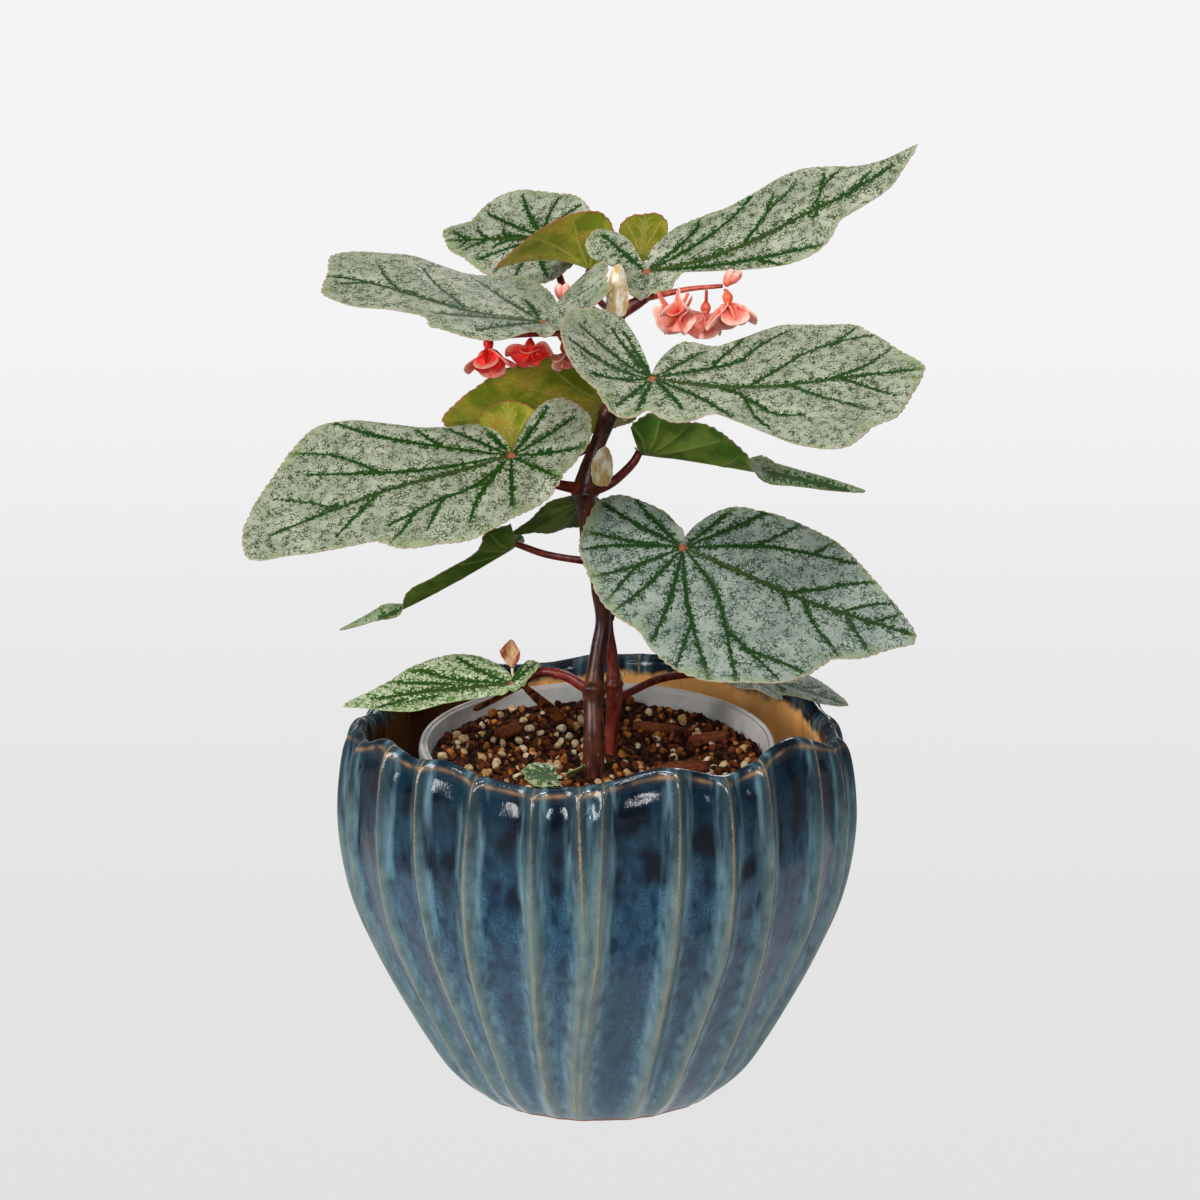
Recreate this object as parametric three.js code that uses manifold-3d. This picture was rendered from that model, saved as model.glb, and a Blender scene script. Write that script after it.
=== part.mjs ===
// A potted begonia: a cane begonia with silver-speckled leaves and small salmon flowers, in
// its nursery pot, which stands inside a ridged and glazed cachepot with a waved rim.
//
// Millimetres, +Z up. The origin is the middle of the cachepot's base, on the surface that
// it stands on. -Y is the front and +X is the right. Angles are in degrees; on the pots they
// turn from the front towards the right.
import * as THREE from 'three';
import { mergeVertices } from 'three/addons/utils/BufferGeometryUtils.js';
import Module from 'manifold-3d';

const wasm = await Module();
wasm.setup();

// ---------------------------------------------------------------- driving dimensions
const GAP = 0.3; // between pieces that touch
const BLADE = 0.8; // thickness of a leaf
const PETAL = 0.7; // thickness of a petal, stipule or bract
const PETAL_ROOT = 1.4; // from the middle of a flower to where its petals start

// Cachepot: [height, radius to the ridge crests, depth of the flutes] up the outside, over
// the lip and down the inside.
const RIM_HEIGHT = 129.2; // mean height of the lip
const CACHEPOT = [
  [0, 41.2, 0.6], [4, 46.8, 1.6], [12, 54.4, 2.6], [30, 65.2, 3], [50, 75.2, 3], [70, 83, 3],
  [95, 86.9, 3], [116, 85.8, 3], [125.8, 83.6, 2.4],
  [128.8, 81.2, 1.1], [RIM_HEIGHT, 79.2, 0.7], [126.6, 76.8, 0.7],
  [92, 78.2, 0], [40, 63, 0], [8, 44, 0],
];
const FLUTE_STEPS = [0, 0.3, 0.7]; // columns from one ridge to the next
const FLUTE_SHAPE = [0, 0.85, 0.85]; // how deep the flute is at those columns
const FULL_FLUTE = 12; // a flute narrower than this many degrees is shallower

// Ridges: [angle at the foot, at the belly, at the rim]. The sixth and seventh run together
// up to the belly and part above it, as a Y.
const BELLY = 70; // its height
const RIDGES = [
  [-66, -70, -72], [-51, -55, -55], [-39, -41, -43], [-32, -30, -28], [-18, -14, -14],
  [-9, -2.5, -4], [-7, 0, 1.5], [15, 17, 18], [26, 30, 30], [46, 41, 40], [54, 58, 57],
  [67, 71, 70], [80, 86, 86], [97, 101, 102], [111, 114, 115], [127, 128, 128],
  [140, 142, 143], [154, 155, 155], [168, 168, 169], [183, 182, 182], [197, 196, 195],
  [211, 210, 209], [224, 224, 223], [238, 238, 237], [252, 251, 250], [265, 263, 263],
  [279, 276, 275],
];

// Rim: [angle, height of the lip].
const RIM = [
  [-72, 126], [-58, 131.3], [-48, 128.6], [-38, 130.4], [-27, 127.6], [-14, 125.7],
  [-2, 127.2], [16, 132.1], [31, 127.4], [51, 134.1], [66, 128], [78, 122.1], [92, 121.7],
  [106, 123.6], [120, 128], [135, 127.5], [150, 130.5], [168, 128.8], [180, 128.2],
  [195, 125.7], [210, 127.5], [225, 129], [240, 126], [255, 123.5], [268, 125.3], [280, 125],
];

// Nursery pot, 12 cm across: [height over its underside, radius]. It stands a little
// crooked, so its rim is higher at the back than at the front.
const NURSERY_FLOOR = 8 + GAP;
const NURSERY_WALL = 1.2;
const NURSERY_HEIGHT = 110.7;
const NURSERY_LEAN = 0.073; // rise of the rim for each millimetre towards the back
const NURSERY = [
  [0, 41], [NURSERY_WALL + 6, 41.9], [106.7, 57.2], [107.3, 59.3], [110.9, 59],
  [111.1, 58.2], [110.1, 57.5], [110.7, 56.8], [108.2, 56], [60, 49.3], [NURSERY_WALL, 39.9],
];
const DRAIN_HOLES = 6;
const DRAIN_RADIUS = 3.5;
const DRAIN_CIRCLE = 27;
const NURSERY_SIDES = 32;

// Potting mix with its granules and bark chips.
const SOIL_HEIGHT = 111; // in the middle
const SOIL_BOWL = 3.4; // how much higher it is at its edge
const SOIL_WAVE = 0.9; // height of its waves
const SOIL_FALL = 0.012; // its fall for each millimetre to the right
const SOIL_RINGS = [55, 38, 20]; // radii of its top
const SOIL_SIDES = 36;
const GRANULES = 52;
const GRANULE_RADIUS = [1.8, 3];
const GRANULE_CIRCLE = 49.5; // how far from the middle they lie
const BARK_THICKNESS = 3;
const BARK = [ // [x, y, turn, length, width]
  [28, 6, 20, 22, 12], [38, 22, 35, 17, 8], [20, 30, -25, 20, 4], [14, -30, 10, 14, 6],
  [-30, 24, 60, 15, 6],
];

// Canes: [x, y, z, radius].
const MAIN_CANE = [
  [-1.2, -10, 62, 3.2], [-1.2, -10, 100, 3.7], [-1.2, -9.6, 112, 3.6], [-1, -9, 125.5, 3.5],
  [-1.2, -6, 134, 3.3], [-1, -5, 138.5, 3.9], [-0.7, -4, 142, 3.1], [0.8, -2, 152, 2.8],
  [2, 0, 160.6, 2.5], [0.7, 0, 171, 2.6], [0.2, 0, 176, 2.6], [-1.4, 0, 182, 3.3],
  [-3.4, 0, 197, 3], [-3.9, 0, 204, 4.2], [-2.6, 0.6, 211, 3.4], [0.3, 2, 219.9, 2.6],
  [3.6, 3, 229.4, 3], [5.2, 2.6, 240, 2.3], [5.8, 2, 250, 2.1], [6.3, 2, 259, 2.2],
  [6.5, 2, 263.4, 2.7], [6.6, 2, 265.4, 1.2],
];
const SECOND_CANE = [
  [4.7, 10, 66, 1.8], [4.7, 10, 100, 1.8], [4.7, 10, 112, 1.9], [5.3, 9, 124.8, 2.4],
  [5.8, 8, 130.4, 2.7], [5.6, 8, 136.7, 2.9], [5.4, 8, 142.7, 2], [4.8, 7, 148.7, 1.9],
  [3.7, 6.8, 155, 1.9], [3.2, 7.4, 161, 2],
];
const CANE_SIDES = 8;
const TWIG_SIDES = 5;
const CANE_ROOM = 1; // between a cane and the mix

// Leaves. "at" is where the stalk meets the blade; "aim" is the midrib's heading (0 is +X, 90
// is +Y) and pitch, and the roll of the blade's left side upwards. The blade's height over
// that plane comes from "fold" (degrees at the midrib), "sag" at the tip, "lobe" at the
// base, "left" and "right" at the sides, and "twist": [slope to the left side, share of the
// length from which the blade turns over to it]. "outline" is [angle from the midrib, radius].
const TWIST_RUN = 0.16; // share of the length in which a blade turns over
const LEAVES = {
  "leaf_lower_right": {
    "at": [27.9, -22.0, 190.7], "aim": [-20, -16, 38], "length": 84,
    "outline": [
      [0, 82], [4, 76], [9, 68], [17, 59], [29, 49.5], [36, 43.5], [46, 36], [58, 28],
      [70, 23], [81, 17.5], [92, 11], [104, 4], [112, 6.5], [126, 9], [137, 17], [147, 22.5],
      [160, 30], [174, 33.5], [200, 34], [228, 33], [257, 35], [271, 36.5], [281, 42],
      [297, 50], [314, 56.5], [331, 63.5], [342, 64], [348, 71], [355, 78], [358, 82.5]],
  },
  "leaf_upper_right": {
    "at": [17.4, -42.0, 250.1], "aim": [-12, 5, 27], "length": 89, "lobe": 26,
    "outline": [
      [6, 78.5], [14, 71], [20, 66.5], [24, 59], [29, 52.5], [35, 46], [38, 34], [41, 26],
      [52, 22], [66, 19.5], [80, 14.5], [90, 8], [100, 3], [107, 10.5], [111, 22], [115, 31],
      [122, 34], [137, 34.5], [160, 29.5], [180, 26], [198, 22], [219, 19.5], [242, 21],
      [260, 21], [274, 17.5], [288, 22], [304, 27], [318, 31], [321, 43], [323, 63],
      [327, 75], [330, 78], [338, 79], [344, 84], [351, 85], [359, 87]],
  },
  "leaf_left": {
    "at": [-27.9, -12.0, 219.1], "aim": [200, -14, -28], "length": 94, "lobe": 12,
    "outline": [
      [4, 94.5], [6, 92], [8, 84], [11, 76], [14.5, 66.5], [18.5, 58], [26, 54.5], [37, 45],
      [48, 40.5], [58, 35], [71, 29.5], [87, 25], [115, 22], [129, 20.5], [143, 22],
      [155, 25.5], [171, 27.5], [187, 28.5], [205, 28], [220, 23.5], [227, 17], [230, 7],
      [240, 2], [252, 2.5], [262, 8.5], [275, 15], [283, 20], [301, 28], [309, 33.5],
      [313, 43], [316, 55], [322, 66], [331, 72], [339, 77], [352, 88], [357, 92]],
  },
  "leaf_upper_left": {
    "at": [-17.4, -12.0, 263.1], "aim": [190, 10, -16], "length": 72, "sag": 6, "lobe": 34,
    "outline": [
      [1, 51], [4, 46], [8, 41.5], [13, 40], [19.5, 41], [22, 38], [30, 32.5], [45.5, 23],
      [58, 14], [80, 10], [120, 9], [160, 12], [185, 20], [204, 21], [222, 26.5], [235, 30],
      [243, 27], [248, 17.5], [256, 22], [267, 28], [281, 34], [298, 37.5], [306, 40],
      [311, 47], [314, 56], [320, 63], [326, 73], [330, 76.5], [339, 73], [349, 72],
      [356, 65.5], [359.5, 60]],
  },
  "leaf_top_right": {
    "at": [16.0, 8.0, 276.2], "aim": [-4, 26, 34], "length": 97, "sag": -8, "lobe": 10,
    "right": -10,
    "outline": [
      [2, 70], [8, 61], [11, 54], [13, 44], [17, 34], [23, 30], [38, 24], [47, 19.5],
      [55, 13], [77, 5], [93, 7], [97, 19], [105, 27], [113, 31], [123, 29.5], [133, 24],
      [138, 12], [160, 9], [200, 9], [235, 11], [270, 12], [305, 13], [324, 15], [327, 27],
      [329, 42], [331, 52], [336, 62], [340, 65.5], [344, 68], [346, 76], [348, 85.5],
      [352, 93], [355, 98], [355.6, 87], [357.5, 78.5]],
  },
  "leaf_top_back": {
    "at": [-17.8, 70.6, 278.1], "aim": [150, -6, -35], "length": 45,
    "outline": [
      [0, 41], [8, 37], [20, 30], [40, 25], [60, 23], [90, 23], [120, 25], [150, 22],
      [175, 10], [190, 4], [205, 12], [225, 18], [250, 20], [280, 24], [298, 28],
      [312, 33], [332, 37], [342, 37], [352, 45]],
  },
  "leaf_top_folded": {
    "at": [-2.2, 43, 271.4], "aim": [184, 28, 24], "length": 31, "fold": 34, "sag": 17,
    "outline": [
      [0, 30], [18, 28], [40, 27], [65, 24], [90, 16], [120, 8], [155, 4], [180, 3],
      [205, 4], [225, 6], [255, 7], [285, 9], [315, 13], [340, 21]],
  },
  "leaf_top_young": {
    "at": [14.8, 47.0, 274.8], "aim": [-75, 74, 0], "length": 17,
    "outline": [
      [0, 16], [15, 16.5], [30, 15.5], [45, 12], [62, 8], [90, 4], [130, 2], [180, 2],
      [230, 2], [270, 4], [298, 8], [315, 12], [330, 15.5], [345, 16.5]],
  },
  "leaf_back_olive": {
    "at": [3.0, 21.0, 229.9], "aim": [181, -6, 50], "length": 55, "fold": 8,
    "outline": [
      [0, 55], [10, 49], [20, 43], [34, 38], [50, 32], [75, 24], [100, 19], [130, 13],
      [155, 6], [175, 3], [195, 7], [220, 13], [250, 16], [285, 17], [315, 23],
      [340, 36]],
  },
  "leaf_small_olive": {
    "at": [-28.1, 12.0, 216.1], "aim": [-100, 70, 0], "length": 20,
    "outline": [
      [0, 19], [30, 18], [50, 13], [75, 6], [110, 2.5], [150, 2], [210, 2], [250, 2.5],
      [285, 7], [305, 13], [330, 17]],
  },
  "leaf_right_folded": {
    "at": [15.8, 8.0, 215.9], "aim": [2, -8, -27], "length": 74, "fold": 33, "sag": 4.4,
    "twist": [1.5, 0.44],
    "outline": [
      [0.8, 74.7], [1.7, 65.7], [2.2, 59], [2.8, 52], [4, 44], [9, 40], [20, 34], [40, 27],
      [65, 20], [95, 12], [125, 5], [150, 2], [180, 2], [232, 2], [239, 6], [242, 14],
      [250, 15.5], [271, 16.5], [289, 17], [307, 20], [316, 22], [329, 26.5], [338, 30.5],
      [345, 34], [350, 37], [353.5, 39], [356, 42], [357.5, 48], [358.3, 54], [359, 62]],
  },
  "leaf_left_folded": {
    "at": [-28.4, 3.0, 184.9], "aim": [184, -32, 22], "length": 63, "fold": 26, "sag": -5,
    "twist": [-1.5, 0.6],
    "outline": [
      [2.6, 44.5], [5.7, 42], [9, 39], [12, 37], [14, 34.5], [16, 29], [19, 25.5],
      [24.5, 21], [34, 17], [56, 14], [81, 15.5], [98, 15], [109, 15], [112.5, 10], [116, 4],
      [140, 2], [180, 2], [205, 2.5], [228, 7], [255, 12], [290, 16], [318, 20], [340, 27],
      [350, 36], [355, 44], [357, 52], [357.8, 59], [358.4, 64], [359.2, 58], [359.8, 52]],
  },
  "leaf_inner_dark": {
    "at": [-3.0, 12.0, 199.2], "aim": [176, -17, 38], "length": 27,
    "outline": [
      [11, 16], [30, 12.5], [41, 10.5], [63, 8], [100, 7], [135, 5], [165, 3], [190, 3.5],
      [215, 5], [245, 7], [265, 8], [280, 9.5], [288, 15], [295, 20], [304, 20], [310, 22],
      [317, 24.5], [330.5, 25], [339, 28.5], [344, 30.5], [349.5, 25.5], [354, 21]],
  },
  "leaf_low_left": {
    "at": [-28.4, -8.0, 141.3], "aim": [187, -6, -25], "length": 56, "lobe": 4,
    "outline": [
      [0, 56], [2, 51], [8, 42], [14, 33], [15, 24], [24, 14], [45, 6], [90, 4], [150, 4],
      [190, 7], [208, 11], [224, 14], [236, 13], [243, 6], [250, 2.5], [266, 2.5], [271, 6],
      [281, 11], [296, 18], [312, 24.5], [324, 30], [335, 36], [345, 41], [353, 48]],
  },
  "leaf_rim_right": {
    "at": [46.1, 25.0, 137.7], "aim": [-8, -16, 12], "length": 42,
    "outline": [
      [0, 41], [10, 35], [25, 28], [50, 22], [80, 18], [110, 15], [140, 10], [160, 4],
      [180, 3], [200, 8], [225, 11], [255, 12], [280, 11], [300, 13], [318, 16],
      [325, 21], [332, 22], [342, 20], [350, 24], [354, 34]],
  },
  "seedling": {
    "at": [-15, -24, 114.4], "aim": [190, 4, -14], "length": 13,
    "outline": [
      [0, 9], [20, 10], [45, 9], [75, 8], [105, 7], [130, 3], [150, 4], [180, 3],
      [210, 3], [230, 3], [255, 8], [290, 9], [320, 9.5], [345, 10]],
  },
};

// Leaf colours from a step away: the silver upper side, or the olive underside of the young
// and folded ones.
const SILVER = '#9fb0a0';
const OLIVE = '#5a6a2c';
const DARK_GREEN = '#33502f';
const LEAF_COLOURS = {
  leaf_top_folded: OLIVE, leaf_top_young: OLIVE, leaf_back_olive: OLIVE,
  leaf_small_olive: OLIVE, leaf_right_folded: DARK_GREEN, leaf_left_folded: DARK_GREEN,
  leaf_inner_dark: DARK_GREEN, leaf_low_left: '#6f8f5c', seedling: '#5f8a45',
};

// Leaf stalks: the leaf, the radii at the cane and at the blade, where the stalk meets the
// blade ("below", or at the edge that lies at this angle from the midrib), and the points
// from the cane outwards.
const MAIN_STALKS = [
  ['leaf_low_left', 1.9, 1.3, 'below', [
    [-1, -5, 138.5], [-4.6, -5, 139.4], [-8.9, -4, 141.9], [-12.2, -3, 143], [-16.2, -1.5, 143.4],
    [-20.2, -0.5, 142.6], [-25, -4, 140.6]]],
  ['leaf_left_folded', 1.4, 1.1, 180, [[-1.4, 0, 181], [-5.6, 0, 181.2], [-17.2, 1, 183]]],
  ['leaf_inner_dark', 1.4, 1, 'below', [[-3.6, 0, 198], [-3.6, 5, 196.6], [-3.3, 9, 196.4]]],
  ['leaf_right_folded', 1.8, 1.3, 150, [
    [-3, 0.6, 204.6], [2, 2, 205.4], [5.6, 3, 207.2], [12, 7, 212.6]]],
  ['leaf_left', 1.8, 1.4, 'below', [[-3.8, 0, 205], [-12, -5, 207.6], [-22, -9, 211.6]]],
  ['leaf_small_olive', 1.1, 0.9, 180, [[0.3, 2, 220], [-9, 9, 214], [-20, 16, 209]]],
  ['leaf_back_olive', 1.5, 1.2, 'below', [[3.6, 3, 229.4], [3.2, 9, 226.8], [3, 14, 225.4]]],
  ['leaf_upper_right', 1.9, 1.4, 'below', [[5.2, 2.6, 239], [9, -10, 240], [14, -27, 244]]],
  ['leaf_upper_left', 1.6, 1.2, 'below', [[6.4, 2, 264], [0, -2, 261], [-9, -8, 259.6]]],
  ['leaf_top_back', 1.4, 1.1, 'below', [[6.6, 2, 265], [1, 20, 260], [-8, 52, 256]]],
  ['leaf_top_folded', 1.3, 1.1, 'below', [[6.6, 2, 264.6], [5, 16, 262.6], [1, 34, 262]]],
  ['leaf_top_right', 2.1, 1.5, 'below', [[6.6, 2, 263.2], [14, 4, 267], [17.2, 6.4, 269.6]]],
  ['leaf_top_young', 1, 0.8, 180, [[8, 2.4, 265], [12, 18, 263.6], [14, 36, 264.6]]],
];
const SECOND_STALKS = [
  ['leaf_lower_right', 2, 1.5, 'below', [[3.3, 7.2, 160], [6, 5, 167], [16, -6, 177]]],
  ['leaf_rim_right', 1.5, 1.1, 'below', [
    [6, 8, 132], [9, 9, 132.6], [21.2, 16, 136.3], [33, 20, 137]]],
];
const STALK_RUN = 1.5; // straight run square to the blade where a stalk meets it
const SEEDLING_STALK = [-14.6, -22]; // where it stands
const SEEDLING_STALK_RADIUS = 0.6;
const SEEDLING_BEND = 112.6; // height at which the second stalk leaves the first
const SEEDLING_SECOND = { // its second, younger leaf
  at: [-8.6, -23.4, 114.4], aim: [-40, 40, 0], length: 7,
  outline: [
    [0, 6.4], [30, 6], [60, 5], [90, 3], [140, 1.4], [180, 1.2], [220, 1.4], [270, 3], [300, 5],
    [330, 6]],
};
const SECOND_SPIKE = [[5.8, 8, 138], [8.4, 7.8, 139.4], [9.2, 7.6, 141.4]]; // an old stipule
const BRACT_STALK = [[-26, -4, 140.6], [-27.7, -3.9, 142.6], [-28.1, -4.1, 145.4]];

// Flower stalks of the main cane: radii, then points.
const FLOWER_STALKS = [
  [1.2, 0.7, [[15, 4.6, 267.6], [22, -1.5, 270.2], [30.1, -6, 272.6], [40.3, -10, 274.2]]],
  [1.2, 0.8, [
    [6.4, 2, 262], [-1, 3, 259], [-8, 2, 257], [-18.5, 0, 256.8], [-28.3, -1, 256.4],
    [-34, -1.6, 255.8]]],
  [0.8, 0.6, [[6.2, 2.4, 262], [1, 7, 263], [-4, 11, 265], [-7.6, 13.6, 267.6]]],
];

// Flowers: middle, the way each hangs, stalk top, colour, and petals as [turn about that
// direction, length, width, opening angle]. Wide petals lie outside narrow ones. The seed
// pod behind the petals is [run along the way the flower hangs, radius].
const SEED_POD = [[-3.4, 0.8], [-1.6, 1.7], [0.8, 1.1]];
const FLOWER_STEM = [0.5, 0.6]; // radii
const SALMON = '#d9795c';
const RED = '#c4281f';
const FLOWERS = {
  flower_right_near: {
    at: [26.6, -11.4, 266], hang: [-0.3, -0.75, -0.5], stalk: [29.4, -7.4, 271.4],
    colour: SALMON,
    petals: [[20, 7.2, 9.5, 54], [200, 7.2, 9.5, 52], [110, 6.2, 7, 34], [290, 6.2, 7, 34]],
  },
  flower_right_middle: {
    at: [35.2, -2.6, 264.4], hang: [-0.05, 0.05, -1], stalk: [35.4, -6, 272], colour: SALMON,
    petals: [[0, 8.6, 9, 36], [180, 8.6, 9, 34], [90, 7.6, 6, 26], [270, 7.6, 6, 26]],
  },
  flower_right_far: {
    at: [42.2, -13.2, 269.6], hang: [0.14, -0.26, -1], stalk: [41.2, -10.8, 273], colour: SALMON,
    petals: [[40, 10, 8, 34], [130, 9, 6, 28], [220, 10, 8, 34], [310, 9, 6, 28]],
  },
  flower_left_outer: {
    at: [-35.2, -3, 252.8], hang: [0.05, -0.3, -1], stalk: [-34.2, -1.8, 254.4], colour: RED,
    petals: [[30, 9.5, 7, 38], [120, 8, 5, 30], [210, 9.5, 6, 34], [300, 9, 5, 16]],
  },
  flower_left_middle: {
    at: [-21.8, -1.6, 252], hang: [0, -0.6, -1], stalk: [-21.4, -0.4, 255.2], colour: RED,
    petals: [[0, 6.4, 7, 68], [180, 6.8, 7, 68], [90, 6, 5, 52], [270, 6, 5, 52]],
  },
  flower_left_inner: {
    at: [-10, 1.6, 250.6], hang: [0.35, -0.6, -1], stalk: [-12.4, 1.6, 255.6],
    colour: '#d8623a',
    petals: [[0, 6.4, 6, 46], [180, 5.6, 6, 46], [90, 5.6, 5, 42], [270, 5.6, 5, 42]],
  },
};
// Buds: middle, stalk start, radius, and how far it leans to the right in degrees.
const BUDS = {
  bud_right: { at: [43.2, -13.4, 277.4], stalk: [40.9, -10.6, 275.4], radius: 2.3, lean: 36 },
  bud_left: { at: [-11.4, 15.6, 268], stalk: [-8.6, 14.4, 268.4], radius: 2.2, lean: 0 },
  bud_middle: { at: [-1.6, 15.4, 266.8], stalk: [-2.4, 12, 265.8], radius: 2.2, lean: -8 },
};

// Stipules, bract and withered leaf: blades with the same values as a leaf.
const SMALL_BLADES = {
  stipule_top: {
    at: [6.8, -3.4, 264.9], aim: [-84, 88, 0], length: 15, fold: 30, colour: '#d8c8a0',
    outline: [[0, 15.6], [20, 9], [50, 4.6], [90, 3.4], [180, 2], [270, 3.4], [310, 4.6], [340, 9]],
  },
  stipule_middle: {
    at: [2, -4.2, 208.6], aim: [-70, 86, 0], length: 13, fold: 26, colour: '#d9cfa6',
    outline: [[0, 12], [20, 9], [50, 4.8], [90, 3.4], [180, 1.6], [270, 3.4], [310, 4.8], [340, 9]],
  },
  stipule_upper: {
    at: [8, -0.4, 235], aim: [-50, -72, 0], length: 7, fold: 20, colour: '#8a5a35',
    outline: [[0, 7], [30, 3], [90, 2], [180, 1.4], [270, 2], [330, 3]],
  },
  bract_low: {
    at: [-28.2, -4.3, 146.6], aim: [92, 80, 0], length: 8, fold: 16, colour: '#a04a35',
    outline: [
      [0, 8.4], [20, 7], [40, 6.2], [60, 2.8], [100, 1.2], [180, 0.9], [260, 1.2], [300, 2.6],
      [326, 4.8], [345, 6.4]],
  },
  leaf_withered: {
    at: [-24.7, 7, 136.6], aim: [180, -27, 40], length: 42, colour: '#4a2c1c',
    outline: [
      [0, 19], [6, 17.5], [8, 11], [12, 5], [25, 2.4], [90, 1.8], [150, 1.8], [220, 1.8],
      [245, 2.6], [255, 7], [259, 14], [262, 30], [263.5, 38], [266, 39], [268.5, 38],
      [270, 30], [273, 14], [277, 7], [287, 2.6], [320, 2], [340, 2.8], [350, 6], [353, 12],
      [355, 18]],
  },
};

// ---------------------------------------------------------------- helpers
const toRadians = (degrees) => degrees * Math.PI / 180;
const vector = ([x, y, z]) => new THREE.Vector3(x, y, z);

/** A repeatable random number between 0 and 1. */
function randomFrom(seed) {
  let state = seed;
  return () => {
    state = (state * 1664525 + 1013904223) % 4294967296;
    return state / 4294967296;
  };
}

/** A smooth closed curve value(angle) through [angle, value] points, without overshoot. */
function closedCurve(points) {
  const count = points.length;
  const sorted = [...points].sort((a, b) => a[0] - b[0]);
  const gap = (i) => (sorted[(i + 1) % count][0] - sorted[i][0] + 360) % 360;
  const slope = sorted.map((p, i) => (sorted[(i + 1) % count][1] - p[1]) / gap(i));
  const tangent = slope.map((after, i) => {
    const before = slope[(i + count - 1) % count];
    if (before * after <= 0) return 0;
    return 2 * before * after / (before + after);
  });
  return (angle) => {
    const turned = ((angle - sorted[0][0]) % 360 + 360) % 360;
    let i = 0;
    while (i < count - 1 && sorted[i + 1][0] - sorted[0][0] <= turned) i += 1;
    const next = (i + 1) % count;
    const width = gap(i);
    const t = (turned - (sorted[i][0] - sorted[0][0])) / width;
    const s = 1 - t;
    return sorted[i][1] * (1 + 2 * t) * s * s + tangent[i] * width * t * s * s
      + sorted[next][1] * (1 + 2 * s) * t * t - tangent[next] * width * s * t * t;
  };
}

/** A closed body from rings of points, with a middle point closing each end. */
function skin(rings, first, last) {
  const sides = rings[0].length;
  const points = [first, ...rings.flat(), last];
  const end = points.length - 1;
  const faces = [];
  const at = (ring, side) => 1 + ring * sides + side % sides;
  for (let side = 0; side < sides; side += 1) {
    faces.push(0, at(0, side + 1), at(0, side));
    for (let ring = 0; ring < rings.length - 1; ring += 1) {
      faces.push(at(ring, side), at(ring, side + 1), at(ring + 1, side + 1));
      faces.push(at(ring, side), at(ring + 1, side + 1), at(ring + 1, side));
    }
    faces.push(end, at(rings.length - 1, side), at(rings.length - 1, side + 1));
  }
  return bodyOf(points, faces);
}

function bodyOf(points, faces) {
  const geometry = new THREE.BufferGeometry();
  geometry.setAttribute('position', new THREE.Float32BufferAttribute(
    points.flatMap((p) => [p.x, p.y, p.z]), 3));
  geometry.setIndex(faces);
  return geometry;
}

/** A round rod along points of [x, y, z, radius]. */
function rod(points, sides, steps) {
  const curve = new THREE.CatmullRomCurve3(points.map(vector), false, 'centripetal');
  const frames = curve.computeFrenetFrames(steps, false);
  const rings = [];
  for (let step = 0; step <= steps; step += 1) {
    const along = step / steps * (points.length - 1);
    const before = Math.min(Math.floor(along), points.length - 2);
    const radius = THREE.MathUtils.lerp(points[before][3], points[before + 1][3], along - before);
    const middle = curve.getPoint(step / steps);
    rings.push(Array.from({ length: sides }, (_, side) => {
      const turn = side / sides * 2 * Math.PI;
      return middle.clone()
        .addScaledVector(frames.normals[step], radius * Math.cos(turn))
        .addScaledVector(frames.binormals[step], radius * Math.sin(turn));
    }));
  }
  return skin(rings, curve.getPoint(0), curve.getPoint(1));
}

/** The same geometry as a solid that can be cut and joined. */
function solidOf(geometry) {
  let bare = geometry.clone();
  bare.deleteAttribute('normal');
  bare.deleteAttribute('uv');
  bare = mergeVertices(bare, 1e-4);
  return new wasm.Manifold(new wasm.Mesh({
    numProp: 3,
    vertProperties: new Float32Array(bare.attributes.position.array),
    triVerts: new Uint32Array(bare.index.array),
  }));
}

function geometryOf(solid) {
  const mesh = solid.getMesh();
  const geometry = new THREE.BufferGeometry();
  geometry.setAttribute('position', new THREE.Float32BufferAttribute(mesh.vertProperties, 3));
  geometry.setIndex(Array.from(mesh.triVerts));
  return geometry;
}

function joined(geometries) {
  return geometryOf(geometries.map(solidOf).reduce((whole, piece) => whole.add(piece)));
}

function upright(radius, height, sides, [x, y, z]) {
  const geometry = new THREE.CylinderGeometry(radius, radius, height, sides);
  geometry.rotateX(Math.PI / 2);
  geometry.translate(x, y, z);
  return geometry;
}

// ---------------------------------------------------------------- blades
/** Directions of a blade: along its midrib, to its left, and out of its upper side. */
function bladeFrame([heading, pitch, roll]) {
  const [h, p, q] = [heading, pitch, roll].map(toRadians);
  const along = vector([Math.cos(p) * Math.cos(h), Math.cos(p) * Math.sin(h), Math.sin(p)]);
  const level = vector([-Math.sin(h), Math.cos(h), 0]);
  const over = along.clone().cross(level);
  const side = level.clone().multiplyScalar(Math.cos(q)).addScaledVector(over, Math.sin(q));
  const up = over.multiplyScalar(Math.cos(q)).addScaledVector(level, -Math.sin(q));
  return { along, side, up };
}

/** Height of a blade over its plane, u along the midrib and v to the left. */
function bladeHeight(blade, u, v) {
  const { length, sag = 0, lobe = 0, fold = 0, left = 0, right = 0, twist = [0, 1] } = blade;
  const round = 0.05 * length;
  const wide = 0.45 * length;
  const [slope, from] = twist;
  const turned = THREE.MathUtils.smoothstep(u / length, from, from + TWIST_RUN);
  return -sag * Math.max(u / length, 0) ** 2
    + lobe * Math.max(-u / (0.4 * length), 0) ** 2
    + (1 - turned) * Math.tan(toRadians(fold)) * (Math.hypot(v, round) - round)
    + turned * slope * v
    + left * Math.max(v / wide, 0) ** 2 + right * Math.max(-v / wide, 0) ** 2;
}

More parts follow.
